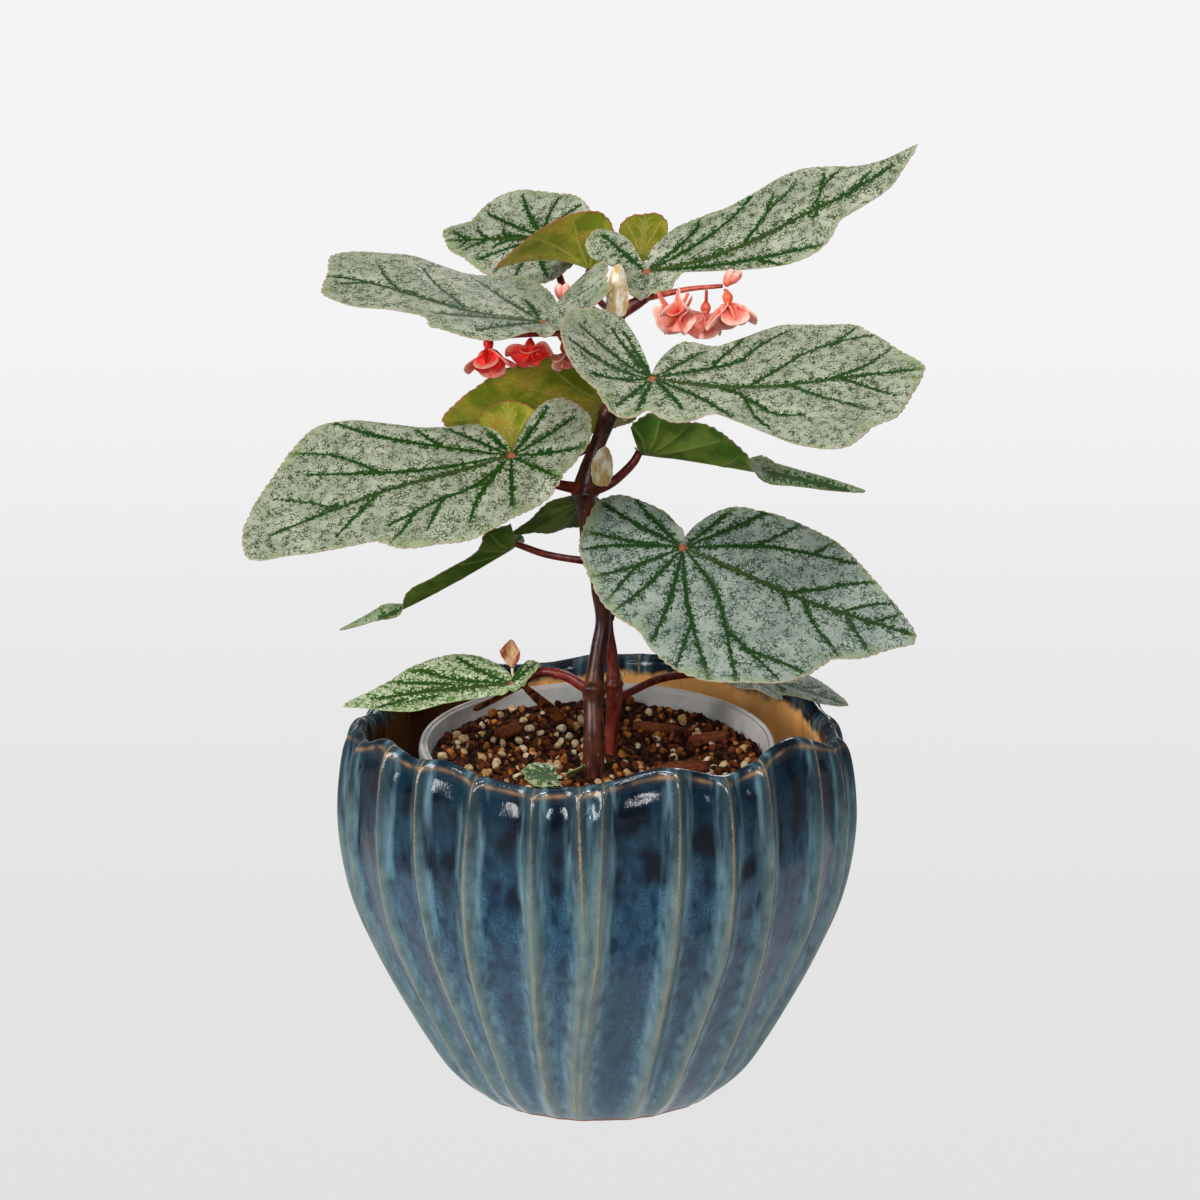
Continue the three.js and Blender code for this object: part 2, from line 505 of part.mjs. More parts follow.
/** Points at even steps round an outline, from the tip, as [angle, radius]. */
function evenOutline(outline, count) {
  const radius = closedCurve(outline);
  const fine = Array.from({ length: 721 }, (_, i) => [i / 2, radius(i / 2)]);
  const run = [0];
  for (let i = 1; i < fine.length; i += 1) {
    const [a, r] = fine[i];
    const [b, s] = fine[i - 1];
    run.push(run[i - 1] + Math.hypot(
      r * Math.cos(toRadians(a)) - s * Math.cos(toRadians(b)),
      r * Math.sin(toRadians(a)) - s * Math.sin(toRadians(b))));
  }
  return Array.from({ length: count }, (_, k) => {
    const target = k / count * run[run.length - 1];
    return fine[run.findIndex((length) => length >= target)];
  });
}

/** A thin waved and toothed blade; both faces are split into triangles alike. */
function bladeBody(blade, frame, thickness, { count, rings, tooth = 0, wave = 0, waves = 7 }) {
  const rim = evenOutline(blade.outline, count);
  const origin = vector(blade.at);
  const height = (u, v, reach) => bladeHeight(blade, u, v)
    + wave * Math.sin(waves * Math.atan2(v, u)) * reach ** 3;
  const point = (u, v, reach, side) => {
    const step = 0.05;
    const middle = height(u, v, reach);
    const slopeU = (height(u + step, v, reach) - middle) / step;
    const slopeV = (height(u, v + step, reach) - middle) / step;
    const lift = side * thickness / 2 / Math.hypot(slopeU, slopeV, 1);
    return origin.clone()
      .addScaledVector(frame.along, u - lift * slopeU)
      .addScaledVector(frame.side, v - lift * slopeV)
      .addScaledVector(frame.up, middle + lift);
  };
  const points = [];
  for (const side of [1, -1]) {
    points.push(point(0, 0, 0, side));
    for (const reach of rings) {
      rim.forEach(([angle, radius], i) => {
        const cut = reach === 1 && i % 2 === 1 ? 1 - tooth : 1;
        const r = radius * reach * cut;
        points.push(point(
          r * Math.cos(toRadians(angle)), r * Math.sin(toRadians(angle)), reach, side));
      });
    }
  }
  const half = 1 + rings.length * count;
  const at = (ring, i) => 1 + ring * count + i % count;
  const faces = [];
  const both = (a, b, c) => faces.push(a, b, c, half + a, half + c, half + b);
  for (let i = 0; i < count; i += 1) {
    both(0, at(0, i), at(0, i + 1));
    for (let ring = 0; ring < rings.length - 1; ring += 1) {
      both(at(ring, i), at(ring + 1, i), at(ring + 1, i + 1));
      both(at(ring, i), at(ring + 1, i + 1), at(ring, i + 1));
    }
    const edge = rings.length - 1;
    faces.push(at(edge, i), half + at(edge, i), half + at(edge, i + 1));
    faces.push(at(edge, i), half + at(edge, i + 1), at(edge, i + 1));
  }
  return bodyOf(points, faces);
}

/** Fewer and coarser steps on the smaller leaves. */
function leafDetail(leaf) {
  if (leaf.length > 70) return { count: 44, rings: [0.5, 1], tooth: 0.03, wave: 1 };
  if (leaf.length > 35) return { count: 34, rings: [0.5, 1], tooth: 0.04, wave: 0.7, waves: 6 };
  return { count: 26, rings: [0.55, 1], tooth: 0.06, wave: 0.4, waves: 5 };
}

function leaf(name) {
  const blade = LEAVES[name];
  return bladeBody(blade, bladeFrame(blade.aim), BLADE, leafDetail(blade));
}

// ---------------------------------------------------------------- pots
const onPot = (radius, angle, z) => vector(
  [radius * Math.sin(toRadians(angle)), -radius * Math.cos(toRadians(angle)), z]);

/** Angle of a ridge at a height: from foot to belly to rim. */
function ridgeAngle([foot, belly, rim], z) {
  if (z < BELLY) return THREE.MathUtils.lerp(foot, belly, z / BELLY);
  return THREE.MathUtils.lerp(belly, rim, (z - BELLY) / (RIM_HEIGHT - BELLY));
}

/** Columns round the pot at a height, as [angle, how far into the flute]. */
function potColumns(z) {
  return RIDGES.flatMap((ridge, i) => {
    const next = RIDGES[(i + 1) % RIDGES.length];
    const start = ridgeAngle(ridge, z);
    const width = (ridgeAngle(next, z) - start + 360) % 360;
    const depth = Math.min(width / FULL_FLUTE, 1);
    return FLUTE_STEPS.map((t, k) => [start + width * t, FLUTE_SHAPE[k] * depth]);
  });
}

function cachepot() {
  const rimHeight = closedCurve(RIM);
  const ring = (radius, z, flute) => potColumns(z).map(([angle, deep]) => {
    const raised = (rimHeight(angle) - RIM_HEIGHT) * (z / RIM_HEIGHT) ** 2;
    return onPot(radius - flute * deep, angle, z + raised);
  });
  const rings = CACHEPOT.map(([z, radius, flute]) => ring(radius, z, flute));
  const [floor] = CACHEPOT.at(-1);
  return skin(rings, onPot(0, 0, 0), onPot(0, 0, floor));
}

/** The nursery pot leans by lifting what is high up and towards the back. */
function leant(point) {
  const up = Math.max((point.z - NURSERY_FLOOR) / NURSERY_HEIGHT, 0);
  point.z += NURSERY_LEAN * point.y * up;
  return point;
}

function nurseryPot() {
  const rings = NURSERY.map(([z, radius]) => Array.from({ length: NURSERY_SIDES },
    (_, i) => leant(onPot(radius, i * 360 / NURSERY_SIDES, NURSERY_FLOOR + z))));
  const body = skin(rings, onPot(0, 0, NURSERY_FLOOR),
    onPot(0, 0, NURSERY_FLOOR + NURSERY_WALL));
  let solid = solidOf(body);
  for (let hole = 0; hole < DRAIN_HOLES; hole += 1) {
    const { x, y } = onPot(DRAIN_CIRCLE, hole * 360 / DRAIN_HOLES, 0);
    const drill = upright(DRAIN_RADIUS, 5 * NURSERY_WALL, 8, [x, y, NURSERY_FLOOR]);
    solid = solid.subtract(solidOf(drill));
  }
  return geometryOf(solid);
}

// ---------------------------------------------------------------- potting mix
/** Height of the mix: a shallow bowl with low waves, which leans with the nursery pot. */
function soilHeight(x, y) {
  const bowl = SOIL_BOWL * (Math.hypot(x, y) / SOIL_RINGS[0]) ** 2;
  return SOIL_HEIGHT + bowl + SOIL_WAVE * Math.sin(x / 8 + 1) * Math.cos(y / 9)
    + NURSERY_LEAN * y - SOIL_FALL * x;
}

/** The hole that a cane stands in: it goes 1 mm below the cane and out at the top. */
function plantHole([foot, bend, top], radius) {
  const [x, y, z] = foot;
  return rod([
    [x, y, z - CANE_ROOM, radius], [...bend.slice(0, 3), radius],
    [...top.slice(0, 2), SOIL_HEIGHT + 14, radius]], 10, 4);
}

/** The mix fills the nursery pot from its floor to just under the rim. */
function pottingMix() {
  const random = randomFrom(20);
  const around = (place) => Array.from({ length: SOIL_SIDES },
    (_, i) => place(i * 360 / SOIL_SIDES));
  const level = (z, radius) => around((angle) => leant(onPot(radius, angle, z)));
  const top = (radius) => around((angle) => {
    const point = onPot(radius, angle, 0);
    point.z = soilHeight(point.x, point.y);
    return point;
  });
  const foot = NURSERY_FLOOR + NURSERY_WALL + GAP;
  const [, floorRadius] = NURSERY.at(-1);
  const rings = [
    level(foot, floorRadius - 2 * GAP), level(60, 47.4), ...SOIL_RINGS.map(top),
  ];
  const middle = vector([0, 0, soilHeight(0, 0)]);
  let mix = solidOf(skin(rings, onPot(0, 0, foot), middle));
  const grow = (geometry) => {
    mix = mix.add(solidOf(geometry));
  };
  const placed = [];
  while (placed.length < GRANULES) {
    const size = THREE.MathUtils.lerp(...GRANULE_RADIUS, random());
    const spread = Math.sqrt(random()) * GRANULE_CIRCLE;
    const { x, y } = onPot(spread, random() * 360, 0);
    if (placed.some(([a, b, r]) => Math.hypot(a - x, b - y) < 0.9 * (r + size))) continue;
    placed.push([x, y, size]);
    const stone = new THREE.OctahedronGeometry(1.15 * size, 0);
    stone.rotateX(random() * 6);
    stone.rotateY(random() * 6);
    stone.scale(1, 0.8 + 0.4 * random(), 0.75);
    stone.translate(x, y, soilHeight(x, y) + 0.25 * size);
    grow(stone);
  }
  for (const [x, y, turn, length, width] of BARK) {
    const chip = new THREE.BoxGeometry(length, width, BARK_THICKNESS);
    chip.rotateY(toRadians(6));
    chip.rotateZ(toRadians(turn));
    chip.translate(x, y, soilHeight(x, y) + 0.1 * BARK_THICKNESS);
    grow(chip);
  }
  const holes = [
    plantHole(MAIN_CANE.slice(0, 3), MAIN_CANE[1][3] + CANE_ROOM),
    plantHole(SECOND_CANE.slice(0, 3), SECOND_CANE[1][3] + 2 * CANE_ROOM),
    upright(2.5 * SEEDLING_STALK_RADIUS, 14, 8, [...SEEDLING_STALK, SOIL_HEIGHT]),
  ];
  for (const hole of holes) mix = mix.subtract(solidOf(hole));
  const [largest] = mix.decompose().sort((a, b) => b.volume() - a.volume());
  return geometryOf(largest);
}

// ---------------------------------------------------------------- canes and stalks
/** A rod that thins evenly from one radius to the other. */
function tapered(points, thick, thin, steps) {
  return rod(points.map((p, i) => [
    ...p, THREE.MathUtils.lerp(thick, thin, i / (points.length - 1))]), TWIG_SIDES, steps);
}

/** Stalk from a cane to a blade; it ends just short of it. */
function leafStalk([name, thick, thin, way, points]) {
  const blade = LEAVES[name];
  const { along, side, up } = bladeFrame(blade.aim);
  const meet = vector(blade.at);
  if (way === 'below') {
    meet.addScaledVector(up, -BLADE / 2 - 2 * GAP);
    points = [...points, meet.clone().addScaledVector(up, -STALK_RUN).toArray()];
  } else {
    const clear = closedCurve(blade.outline)(way) + 2 * GAP;
    meet.addScaledVector(along, clear * Math.cos(toRadians(way)))
      .addScaledVector(side, clear * Math.sin(toRadians(way)));
  }
  return tapered([...points, meet.toArray()], thick, thin, 2 * points.length);
}

function mainCane() {
  const flowerStalks = FLOWER_STALKS.map(([thick, thin, points]) => (
    tapered(points, thick, thin, 8)));
  return joined([
    rod(MAIN_CANE, CANE_SIDES, 42), ...MAIN_STALKS.map(leafStalk), ...flowerStalks,
    tapered(BRACT_STALK, 0.6, 0.5, 4)]);
}

function secondCane() {
  return joined([
    rod(SECOND_CANE, CANE_SIDES, 18), ...SECOND_STALKS.map(leafStalk),
    tapered(SECOND_SPIKE, 0.9, 0.4, 3)]);
}

function seedling() {
  const [x, y, z] = LEAVES.seedling.at;
  const foot = [...SEEDLING_STALK, SOIL_HEIGHT - 6];
  const bend = [...SEEDLING_STALK, SEEDLING_BEND];
  const radius = SEEDLING_STALK_RADIUS;
  const second = bladeBody(SEEDLING_SECOND, bladeFrame(SEEDLING_SECOND.aim), BLADE,
    { count: 14, rings: [1], tooth: 0.08 });
  return joined([
    leaf('seedling'), tapered([foot, bend, [x, y + radius, z]], radius, radius, 4), second,
    tapered([bend, SEEDLING_SECOND.at], radius, radius, 2)]);
}

// ---------------------------------------------------------------- flowers
/** A petal leans out from the way the flower hangs and cups back towards it. */
function petal(at, hang, [turn, length, width, open]) {
  const out = new THREE.Vector3(1, 0, 0).applyQuaternion(
    new THREE.Quaternion().setFromUnitVectors(new THREE.Vector3(0, 0, 1), hang));
  out.applyAxisAngle(hang, toRadians(turn));
  const along = hang.clone().multiplyScalar(Math.cos(toRadians(open)))
    .addScaledVector(out, Math.sin(toRadians(open)));
  const side = hang.clone().cross(out).normalize();
  const up = along.clone().cross(side);
  const half = width / 2;
  const root = vector(at).addScaledVector(along, PETAL_ROOT).toArray();
  const blade = {
    at: root, length, sag: 0.25 * length, left: -0.2 * width, right: -0.2 * width,
    outline: [
      [0, length], [25, 0.95 * length], [55, half * 1.3], [90, half * 0.7], [140, 1], [180, 0.8],
      [220, 1], [270, half * 0.7], [305, half * 1.3], [335, 0.95 * length]],
  };
  return bladeBody(blade, { along, side, up }, PETAL, { count: 9, rings: [1] });
}

function flower({ at, hang, stalk, petals }) {
  const way = vector(hang).normalize();
  const pod = SEED_POD.map(([run, radius]) => [
    ...vector(at).addScaledVector(way, run).toArray(), radius]);
  const stem = tapered([stalk, pod[0].slice(0, 3)], ...FLOWER_STEM, 2);
  const parts = petals.map((one) => petal(at, way, one));
  return joined([rod(pod, TWIG_SIDES, 2), stem, ...parts]);
}

/** A bud is two halves that lean together at the top, on a short stem. */
function bud({ at, stalk, radius, lean }) {
  const lobe = (turn) => {
    const half = new THREE.SphereGeometry(radius, 6, 5);
    half.scale(0.75, 0.9, 1.35);
    half.rotateY(toRadians(lean + turn));
    half.translate(at[0] + Math.sign(turn) * 0.35 * radius, at[1], at[2]);
    return half;
  };
  return joined([lobe(16), lobe(-16), tapered([stalk, at], ...FLOWER_STEM, 2)]);
}

// ---------------------------------------------------------------- the whole plant
function named(name, geometry, colour, roughness) {
  const material = new THREE.MeshStandardMaterial({ color: colour, roughness, metalness: 0 });
  const mesh = new THREE.Mesh(geometry, material);
  mesh.name = name;
  return mesh;
}

const plant = new THREE.Group();
plant.add(named('cachepot', cachepot(), '#2f5670', 0.15));
plant.add(named('nursery_pot', nurseryPot(), '#c3c0bb', 0.4));
plant.add(named('potting_mix', pottingMix(), '#4a3020', 0.95));
plant.add(named('main_cane', mainCane(), '#3d1a14', 0.45));
plant.add(named('second_cane', secondCane(), '#5a2a1e', 0.45));
for (const name of Object.keys(LEAVES)) {
  const geometry = name === 'seedling' ? seedling() : leaf(name);
  plant.add(named(name, geometry, LEAF_COLOURS[name] ?? SILVER, 0.5));
}
for (const [name, blade] of Object.entries(SMALL_BLADES)) {
  const detail = { count: blade.length > 20 ? 40 : 14, rings: [0.5, 1], tooth: 0.05 };
  const geometry = bladeBody(blade, bladeFrame(blade.aim), PETAL, detail);
  plant.add(named(name, geometry, blade.colour, 0.7));
}
for (const [name, values] of Object.entries(FLOWERS)) {
  plant.add(named(name, flower(values), values.colour, 0.5));
}
for (const [name, values] of Object.entries(BUDS)) {
  plant.add(named(name, bud(values), SALMON, 0.5));
}

export default plant;
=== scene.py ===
# A potted begonia: the looks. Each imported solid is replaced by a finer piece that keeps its
# place, size and form, built from the same named values.
# Millimetres in the tables and in the mesh code; MM turns them to metres.
from functools import partial
import math

import bmesh
import bpy
import numpy as np
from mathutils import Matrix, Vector


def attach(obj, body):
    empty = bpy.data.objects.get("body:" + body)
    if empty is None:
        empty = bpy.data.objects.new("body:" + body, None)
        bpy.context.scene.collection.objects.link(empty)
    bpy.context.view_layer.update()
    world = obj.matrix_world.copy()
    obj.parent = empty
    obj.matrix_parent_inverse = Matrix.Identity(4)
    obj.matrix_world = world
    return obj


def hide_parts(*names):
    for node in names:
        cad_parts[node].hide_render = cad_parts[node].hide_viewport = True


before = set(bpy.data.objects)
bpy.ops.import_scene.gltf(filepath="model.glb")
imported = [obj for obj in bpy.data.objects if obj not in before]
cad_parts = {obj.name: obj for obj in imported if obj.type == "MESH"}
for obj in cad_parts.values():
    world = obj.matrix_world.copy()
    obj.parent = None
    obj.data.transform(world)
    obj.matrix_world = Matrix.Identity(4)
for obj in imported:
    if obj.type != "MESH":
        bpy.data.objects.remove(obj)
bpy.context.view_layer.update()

MM = 0.001


# ------------------------------------------------------------------ mesh helpers
def closed_curve(points):
    """A smooth closed curve value(angle) through [angle, value] points, without overshoot."""
    angles, values = np.array(sorted(points), float).T
    gaps = np.diff(angles, append=angles[0] + 360)
    slopes = np.diff(values, append=values[0]) / gaps
    before = np.roll(slopes, 1)
    rising = before * slopes > 0
    total = np.where(rising, before + slopes, 1)
    tangents = np.where(rising, 2 * before * slopes / total, 0)

    def value(angle):
        turned = (np.asarray(angle, float) - angles[0]) % 360
        i = np.searchsorted(angles - angles[0], turned, side="right") - 1
        after = (i + 1) % len(angles)
        width = gaps[i]
        t = (turned - (angles[i] - angles[0])) / width
        s = 1 - t
        return (values[i] * (1 + 2 * t) * s * s + tangents[i] * width * t * s * s
                + values[after] * (1 + 2 * s) * t * t - tangents[after] * width * s * t * t)

    return value


def smooth_line(points, steps):
    """Points at even steps of a Catmull-Rom curve whose knots follow the distances."""
    points = np.asarray(points, float)
    first = 2 * points[0] - points[1]
    last = 2 * points[-1] - points[-2]
    knots = np.vstack([first, points, last])
    along = np.linspace(0, len(points) - 1, steps + 1)
    i = np.minimum(along.astype(int), len(points) - 2)
    t = (along - i)[:, None]
    a, b, c, d = knots[i], knots[i + 1], knots[i + 2], knots[i + 3]
    gap = [np.maximum(np.linalg.norm(q[:, :3] - p[:, :3], axis=1), 1e-6)[:, None] ** 0.5
           for p, q in ((a, b), (b, c), (c, d))]
    leave = ((b - a) / gap[0] - (c - a) / (gap[0] + gap[1]) + (c - b) / gap[1]) * gap[1]
    reach = ((c - b) / gap[1] - (d - b) / (gap[1] + gap[2]) + (d - c) / gap[2]) * gap[1]
    return (b * (2 * t**3 - 3 * t**2 + 1) + leave * (t**3 - 2 * t**2 + t)
            + c * (3 * t**2 - 2 * t**3) + reach * (t**3 - t**2))


def grid_faces(rows, columns, start=0, closed=True):
    """Four-sided faces of a grid of points, row by row; closed joins the last column on."""
    row, column = np.meshgrid(np.arange(rows - 1), np.arange(columns - (not closed)),
                              indexing="ij")
    after = (column + 1) % columns
    corners = [row * columns + column, row * columns + after,
               (row + 1) * columns + after, (row + 1) * columns + column]
    return (np.stack(corners, axis=-1).reshape(-1, 4) + start).tolist()


def fan(middle, ring, turned=False):
    """Three-sided faces from a middle point to a ring of points."""
    after = np.roll(ring, -1)
    pairs = zip(after, ring) if turned else zip(ring, after)
    return [[middle, int(p), int(q)] for p, q in pairs]


def closed_body(rings, first, last):
    """Rings of points, closed at both ends by a middle point."""
    count = len(rings[0])
    end = count * len(rings)
    faces = grid_faces(len(rings), count)
    faces += fan(end, np.arange(count), turned=True)
    faces += fan(end + 1, np.arange(end - count, end))
    return np.vstack([*rings, first, last]), faces


def thin_body(faces, count, border):
    """Faces of an upper sheet of so many points, of one like it below, and of the rim."""
    below = [[corner + count for corner in face[::-1]] for face in faces]
    ring = [int(corner) for corner in border]
    return faces + below + [[a, a + count, b + count, b]
                            for a, b in zip(ring, ring[1:] + ring[:1])]


def joined(shapes):
    """One shape from several; a shape is points, faces and values at the points."""
    points, faces, values, start = [], [], {}, 0
    for shape_points, shape_faces, shape_values in shapes:
        points.append(shape_points)
        faces.extend([[c + start for c in face] for face in shape_faces])
        for name, numbers in shape_values.items():
            values.setdefault(name, []).append(numbers)
        start += len(shape_points)
    return np.vstack(points), faces, {n: np.concatenate(v) for n, v in values.items()}


def piece(name, shape, material, replaced=(), smooth=True):
    """A piece of the plant or its pots, which rides on the root and stands for its node."""
    points, faces, values = shape
    mesh = bpy.data.meshes.new(name)
    mesh.from_pydata((np.asarray(points) * MM).tolist(), [], faces)
    for label, numbers in values.items():
        kind = "FLOAT" if np.ndim(numbers) == 1 else "FLOAT_VECTOR"
        layer = mesh.attributes.new(label, kind, "POINT")
        field = "value" if kind == "FLOAT" else "vector"
        layer.data.foreach_set(field, np.asarray(numbers, np.float32).ravel())
    mesh.polygons.foreach_set("use_smooth", [smooth] * len(mesh.polygons))
    mesh.materials.append(material)
    mesh.validate()
    mesh.update()
    made = bpy.data.objects.new(name, mesh)
    bpy.context.scene.collection.objects.link(made)
    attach(made, "root")
    if replaced:
        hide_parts(*replaced)
    return made


def cos_sin(degrees):
    return math.cos(math.radians(degrees)), math.sin(math.radians(degrees))


def unit(rows):
    """Each row at a length of 1."""
    return rows / np.maximum(np.linalg.norm(rows, axis=-1, keepdims=True), 1e-12)


def tube(rows, sides, steps):
    """A round tube along [x, y, z, radius] rows."""
    line = smooth_line(rows, steps)
    path, radius = line[:, :3], line[:, 3]
    heading = unit(np.gradient(path, axis=0))
    across = np.empty_like(path)
    start = np.cross(heading[0], [0.3, 0.2, 1.0])
    across[0] = start / np.linalg.norm(start)
    for i in range(1, len(path)):
        turned = across[i - 1] - heading[i] * np.dot(across[i - 1], heading[i])
        across[i] = turned / np.linalg.norm(turned)
    beside = np.cross(heading, across)
    turn = np.arange(sides) / sides * 2 * math.pi
    spread = (across[:, None] * np.cos(turn)[None, :, None]
              + beside[:, None] * np.sin(turn)[None, :, None])
    rings = path[:, None] + spread * radius[:, None, None]
    return *closed_body(rings, path[0], path[-1]), {}


# ------------------------------------------------------------------ the object's values
# The same named values as the solids have.
GAP = 0.3  # between pieces that touch

RIM_HEIGHT = 129.2  # mean height of the cachepot's lip
BELLY = 70  # height of the middle value of a ridge
FULL_FLUTE = 12  # a flute narrower than this many degrees is shallower
CREST_WIDTH = 2.7  # of a ridge, from its middle to where the flute is two thirds deep
POCKET_HEIGHT = 123.5  # where each flute ends in a pocket under the lip
POCKET_DEPTH = 1.0
POCKET_SPREAD = 3.0  # height over which a pocket fades
NURSERY_FLOOR = 8.3
NURSERY_WALL = 1.2
NURSERY_HEIGHT = 110.7
NURSERY_LEAN = 0.073  # rise for each millimetre towards the back
NURSERY_WALL_TOP = 105  # where its double rim begins, over its underside
DRAIN_HOLES = 6
DRAIN_RADIUS = 3.5
DRAIN_CIRCLE = 27
SOIL_HEIGHT = 111  # in the middle
SOIL_RADIUS = 55
SOIL_BOWL = 3.4  # how much higher it is at its edge
SOIL_WAVE = 0.9  # height of its waves
SOIL_FALL = 0.012  # its fall for each millimetre to the right
SOIL_FOOT = 39.3  # radius of the mix on the nursery pot's floor
SOIL_WAIST = (47.4, 60)  # its radius half-way up, and that height
CLOD_RISE = 0.22  # of the clods on its top
CLOD_SINK = 0.6  # how far below the even surface they lie
FLAKE = 2.4  # thickness of a flake of bark
CANE_ROOM = 4.6  # no crumb lies nearer to the middle of a cane
MOST_TRIES = 60000  # at finding a free place for a crumb
NEIGHBOURS = 400  # so many earlier crumbs are looked at

# Cachepot: [height, radius to the ridge crests, depth of the flutes].
CACHEPOT = [
    [0, 41.2, 0.6], [4, 46.8, 1.6], [12, 54.4, 2.6], [30, 65.2, 3], [50, 75.2, 3], [70, 83, 3],
    [95, 86.9, 3], [116, 85.8, 3], [125.8, 83.6, 2.4],
    [128.8, 81.2, 1.1], [RIM_HEIGHT, 79.2, 0.7], [126.6, 76.8, 0.7],
    [92, 78.2, 0], [40, 63, 0], [8, 44, 0],
]

# Ridges of the cachepot: [angle at the foot, at the belly, at the rim].
RIDGES = [
    [-66, -70, -72], [-51, -55, -55], [-39, -41, -43], [-32, -30, -28], [-18, -14, -14],
    [-9, -2.5, -4], [-7, 0, 1.5], [15, 17, 18], [26, 30, 30], [46, 41, 40], [54, 58, 57],
    [67, 71, 70], [80, 86, 86], [97, 101, 102], [111, 114, 115], [127, 128, 128],
    [140, 142, 143], [154, 155, 155], [168, 168, 169], [183, 182, 182], [197, 196, 195],
    [211, 210, 209], [224, 224, 223], [238, 238, 237], [252, 251, 250], [265, 263, 263],
    [279, 276, 275],
]

# Rim of the cachepot: [angle, height of the lip].
RIM = [
    [-72, 126], [-58, 131.3], [-48, 128.6], [-38, 130.4], [-27, 127.6], [-14, 125.7],
    [-2, 127.2], [16, 132.1], [31, 127.4], [51, 134.1], [66, 128], [78, 122.1], [92, 121.7],
    [106, 123.6], [120, 128], [135, 127.5], [150, 130.5], [168, 128.8], [180, 128.2],
    [195, 125.7], [210, 127.5], [225, 129], [240, 126], [255, 123.5], [268, 125.3], [280, 125],
]

# Nursery pot: [height over its underside, radius].
NURSERY = [
    [0, 41], [NURSERY_WALL + 6, 41.9], [106.7, 57.2], [107.3, 59.3], [110.9, 59],
    [111.1, 58.2], [110.1, 57.5], [110.7, 56.8], [108.2, 56], [60, 49.3], [NURSERY_WALL, 39.9],
]

# Canes: [x, y, z, radius].
MAIN_CANE = [
    [-1.2, -10, 62, 3.2], [-1.2, -10, 100, 3.7], [-1.2, -9.6, 112, 3.6], [-1, -9, 125.5, 3.5],
    [-1.2, -6, 134, 3.3], [-1, -5, 138.5, 3.9], [-0.7, -4, 142, 3.1], [0.8, -2, 152, 2.8],
    [2, 0, 160.6, 2.5], [0.7, 0, 171, 2.6], [0.2, 0, 176, 2.6], [-1.4, 0, 182, 3.3],
    [-3.4, 0, 197, 3], [-3.9, 0, 204, 4.2], [-2.6, 0.6, 211, 3.4], [0.3, 2, 219.9, 2.6],
    [3.6, 3, 229.4, 3], [5.2, 2.6, 240, 2.3], [5.8, 2, 250, 2.1], [6.3, 2, 259, 2.2],
    [6.5, 2, 263.4, 2.7], [6.6, 2, 265.4, 1.2],
]
SECOND_CANE = [
    [4.7, 10, 66, 1.8], [4.7, 10, 100, 1.8], [4.7, 10, 112, 1.9], [5.3, 9, 124.8, 2.4],
    [5.8, 8, 130.4, 2.7], [5.6, 8, 136.7, 2.9], [5.4, 8, 142.7, 2], [4.8, 7, 148.7, 1.9],
    [3.7, 6.8, 155, 1.9], [3.2, 7.4, 161, 2],
]

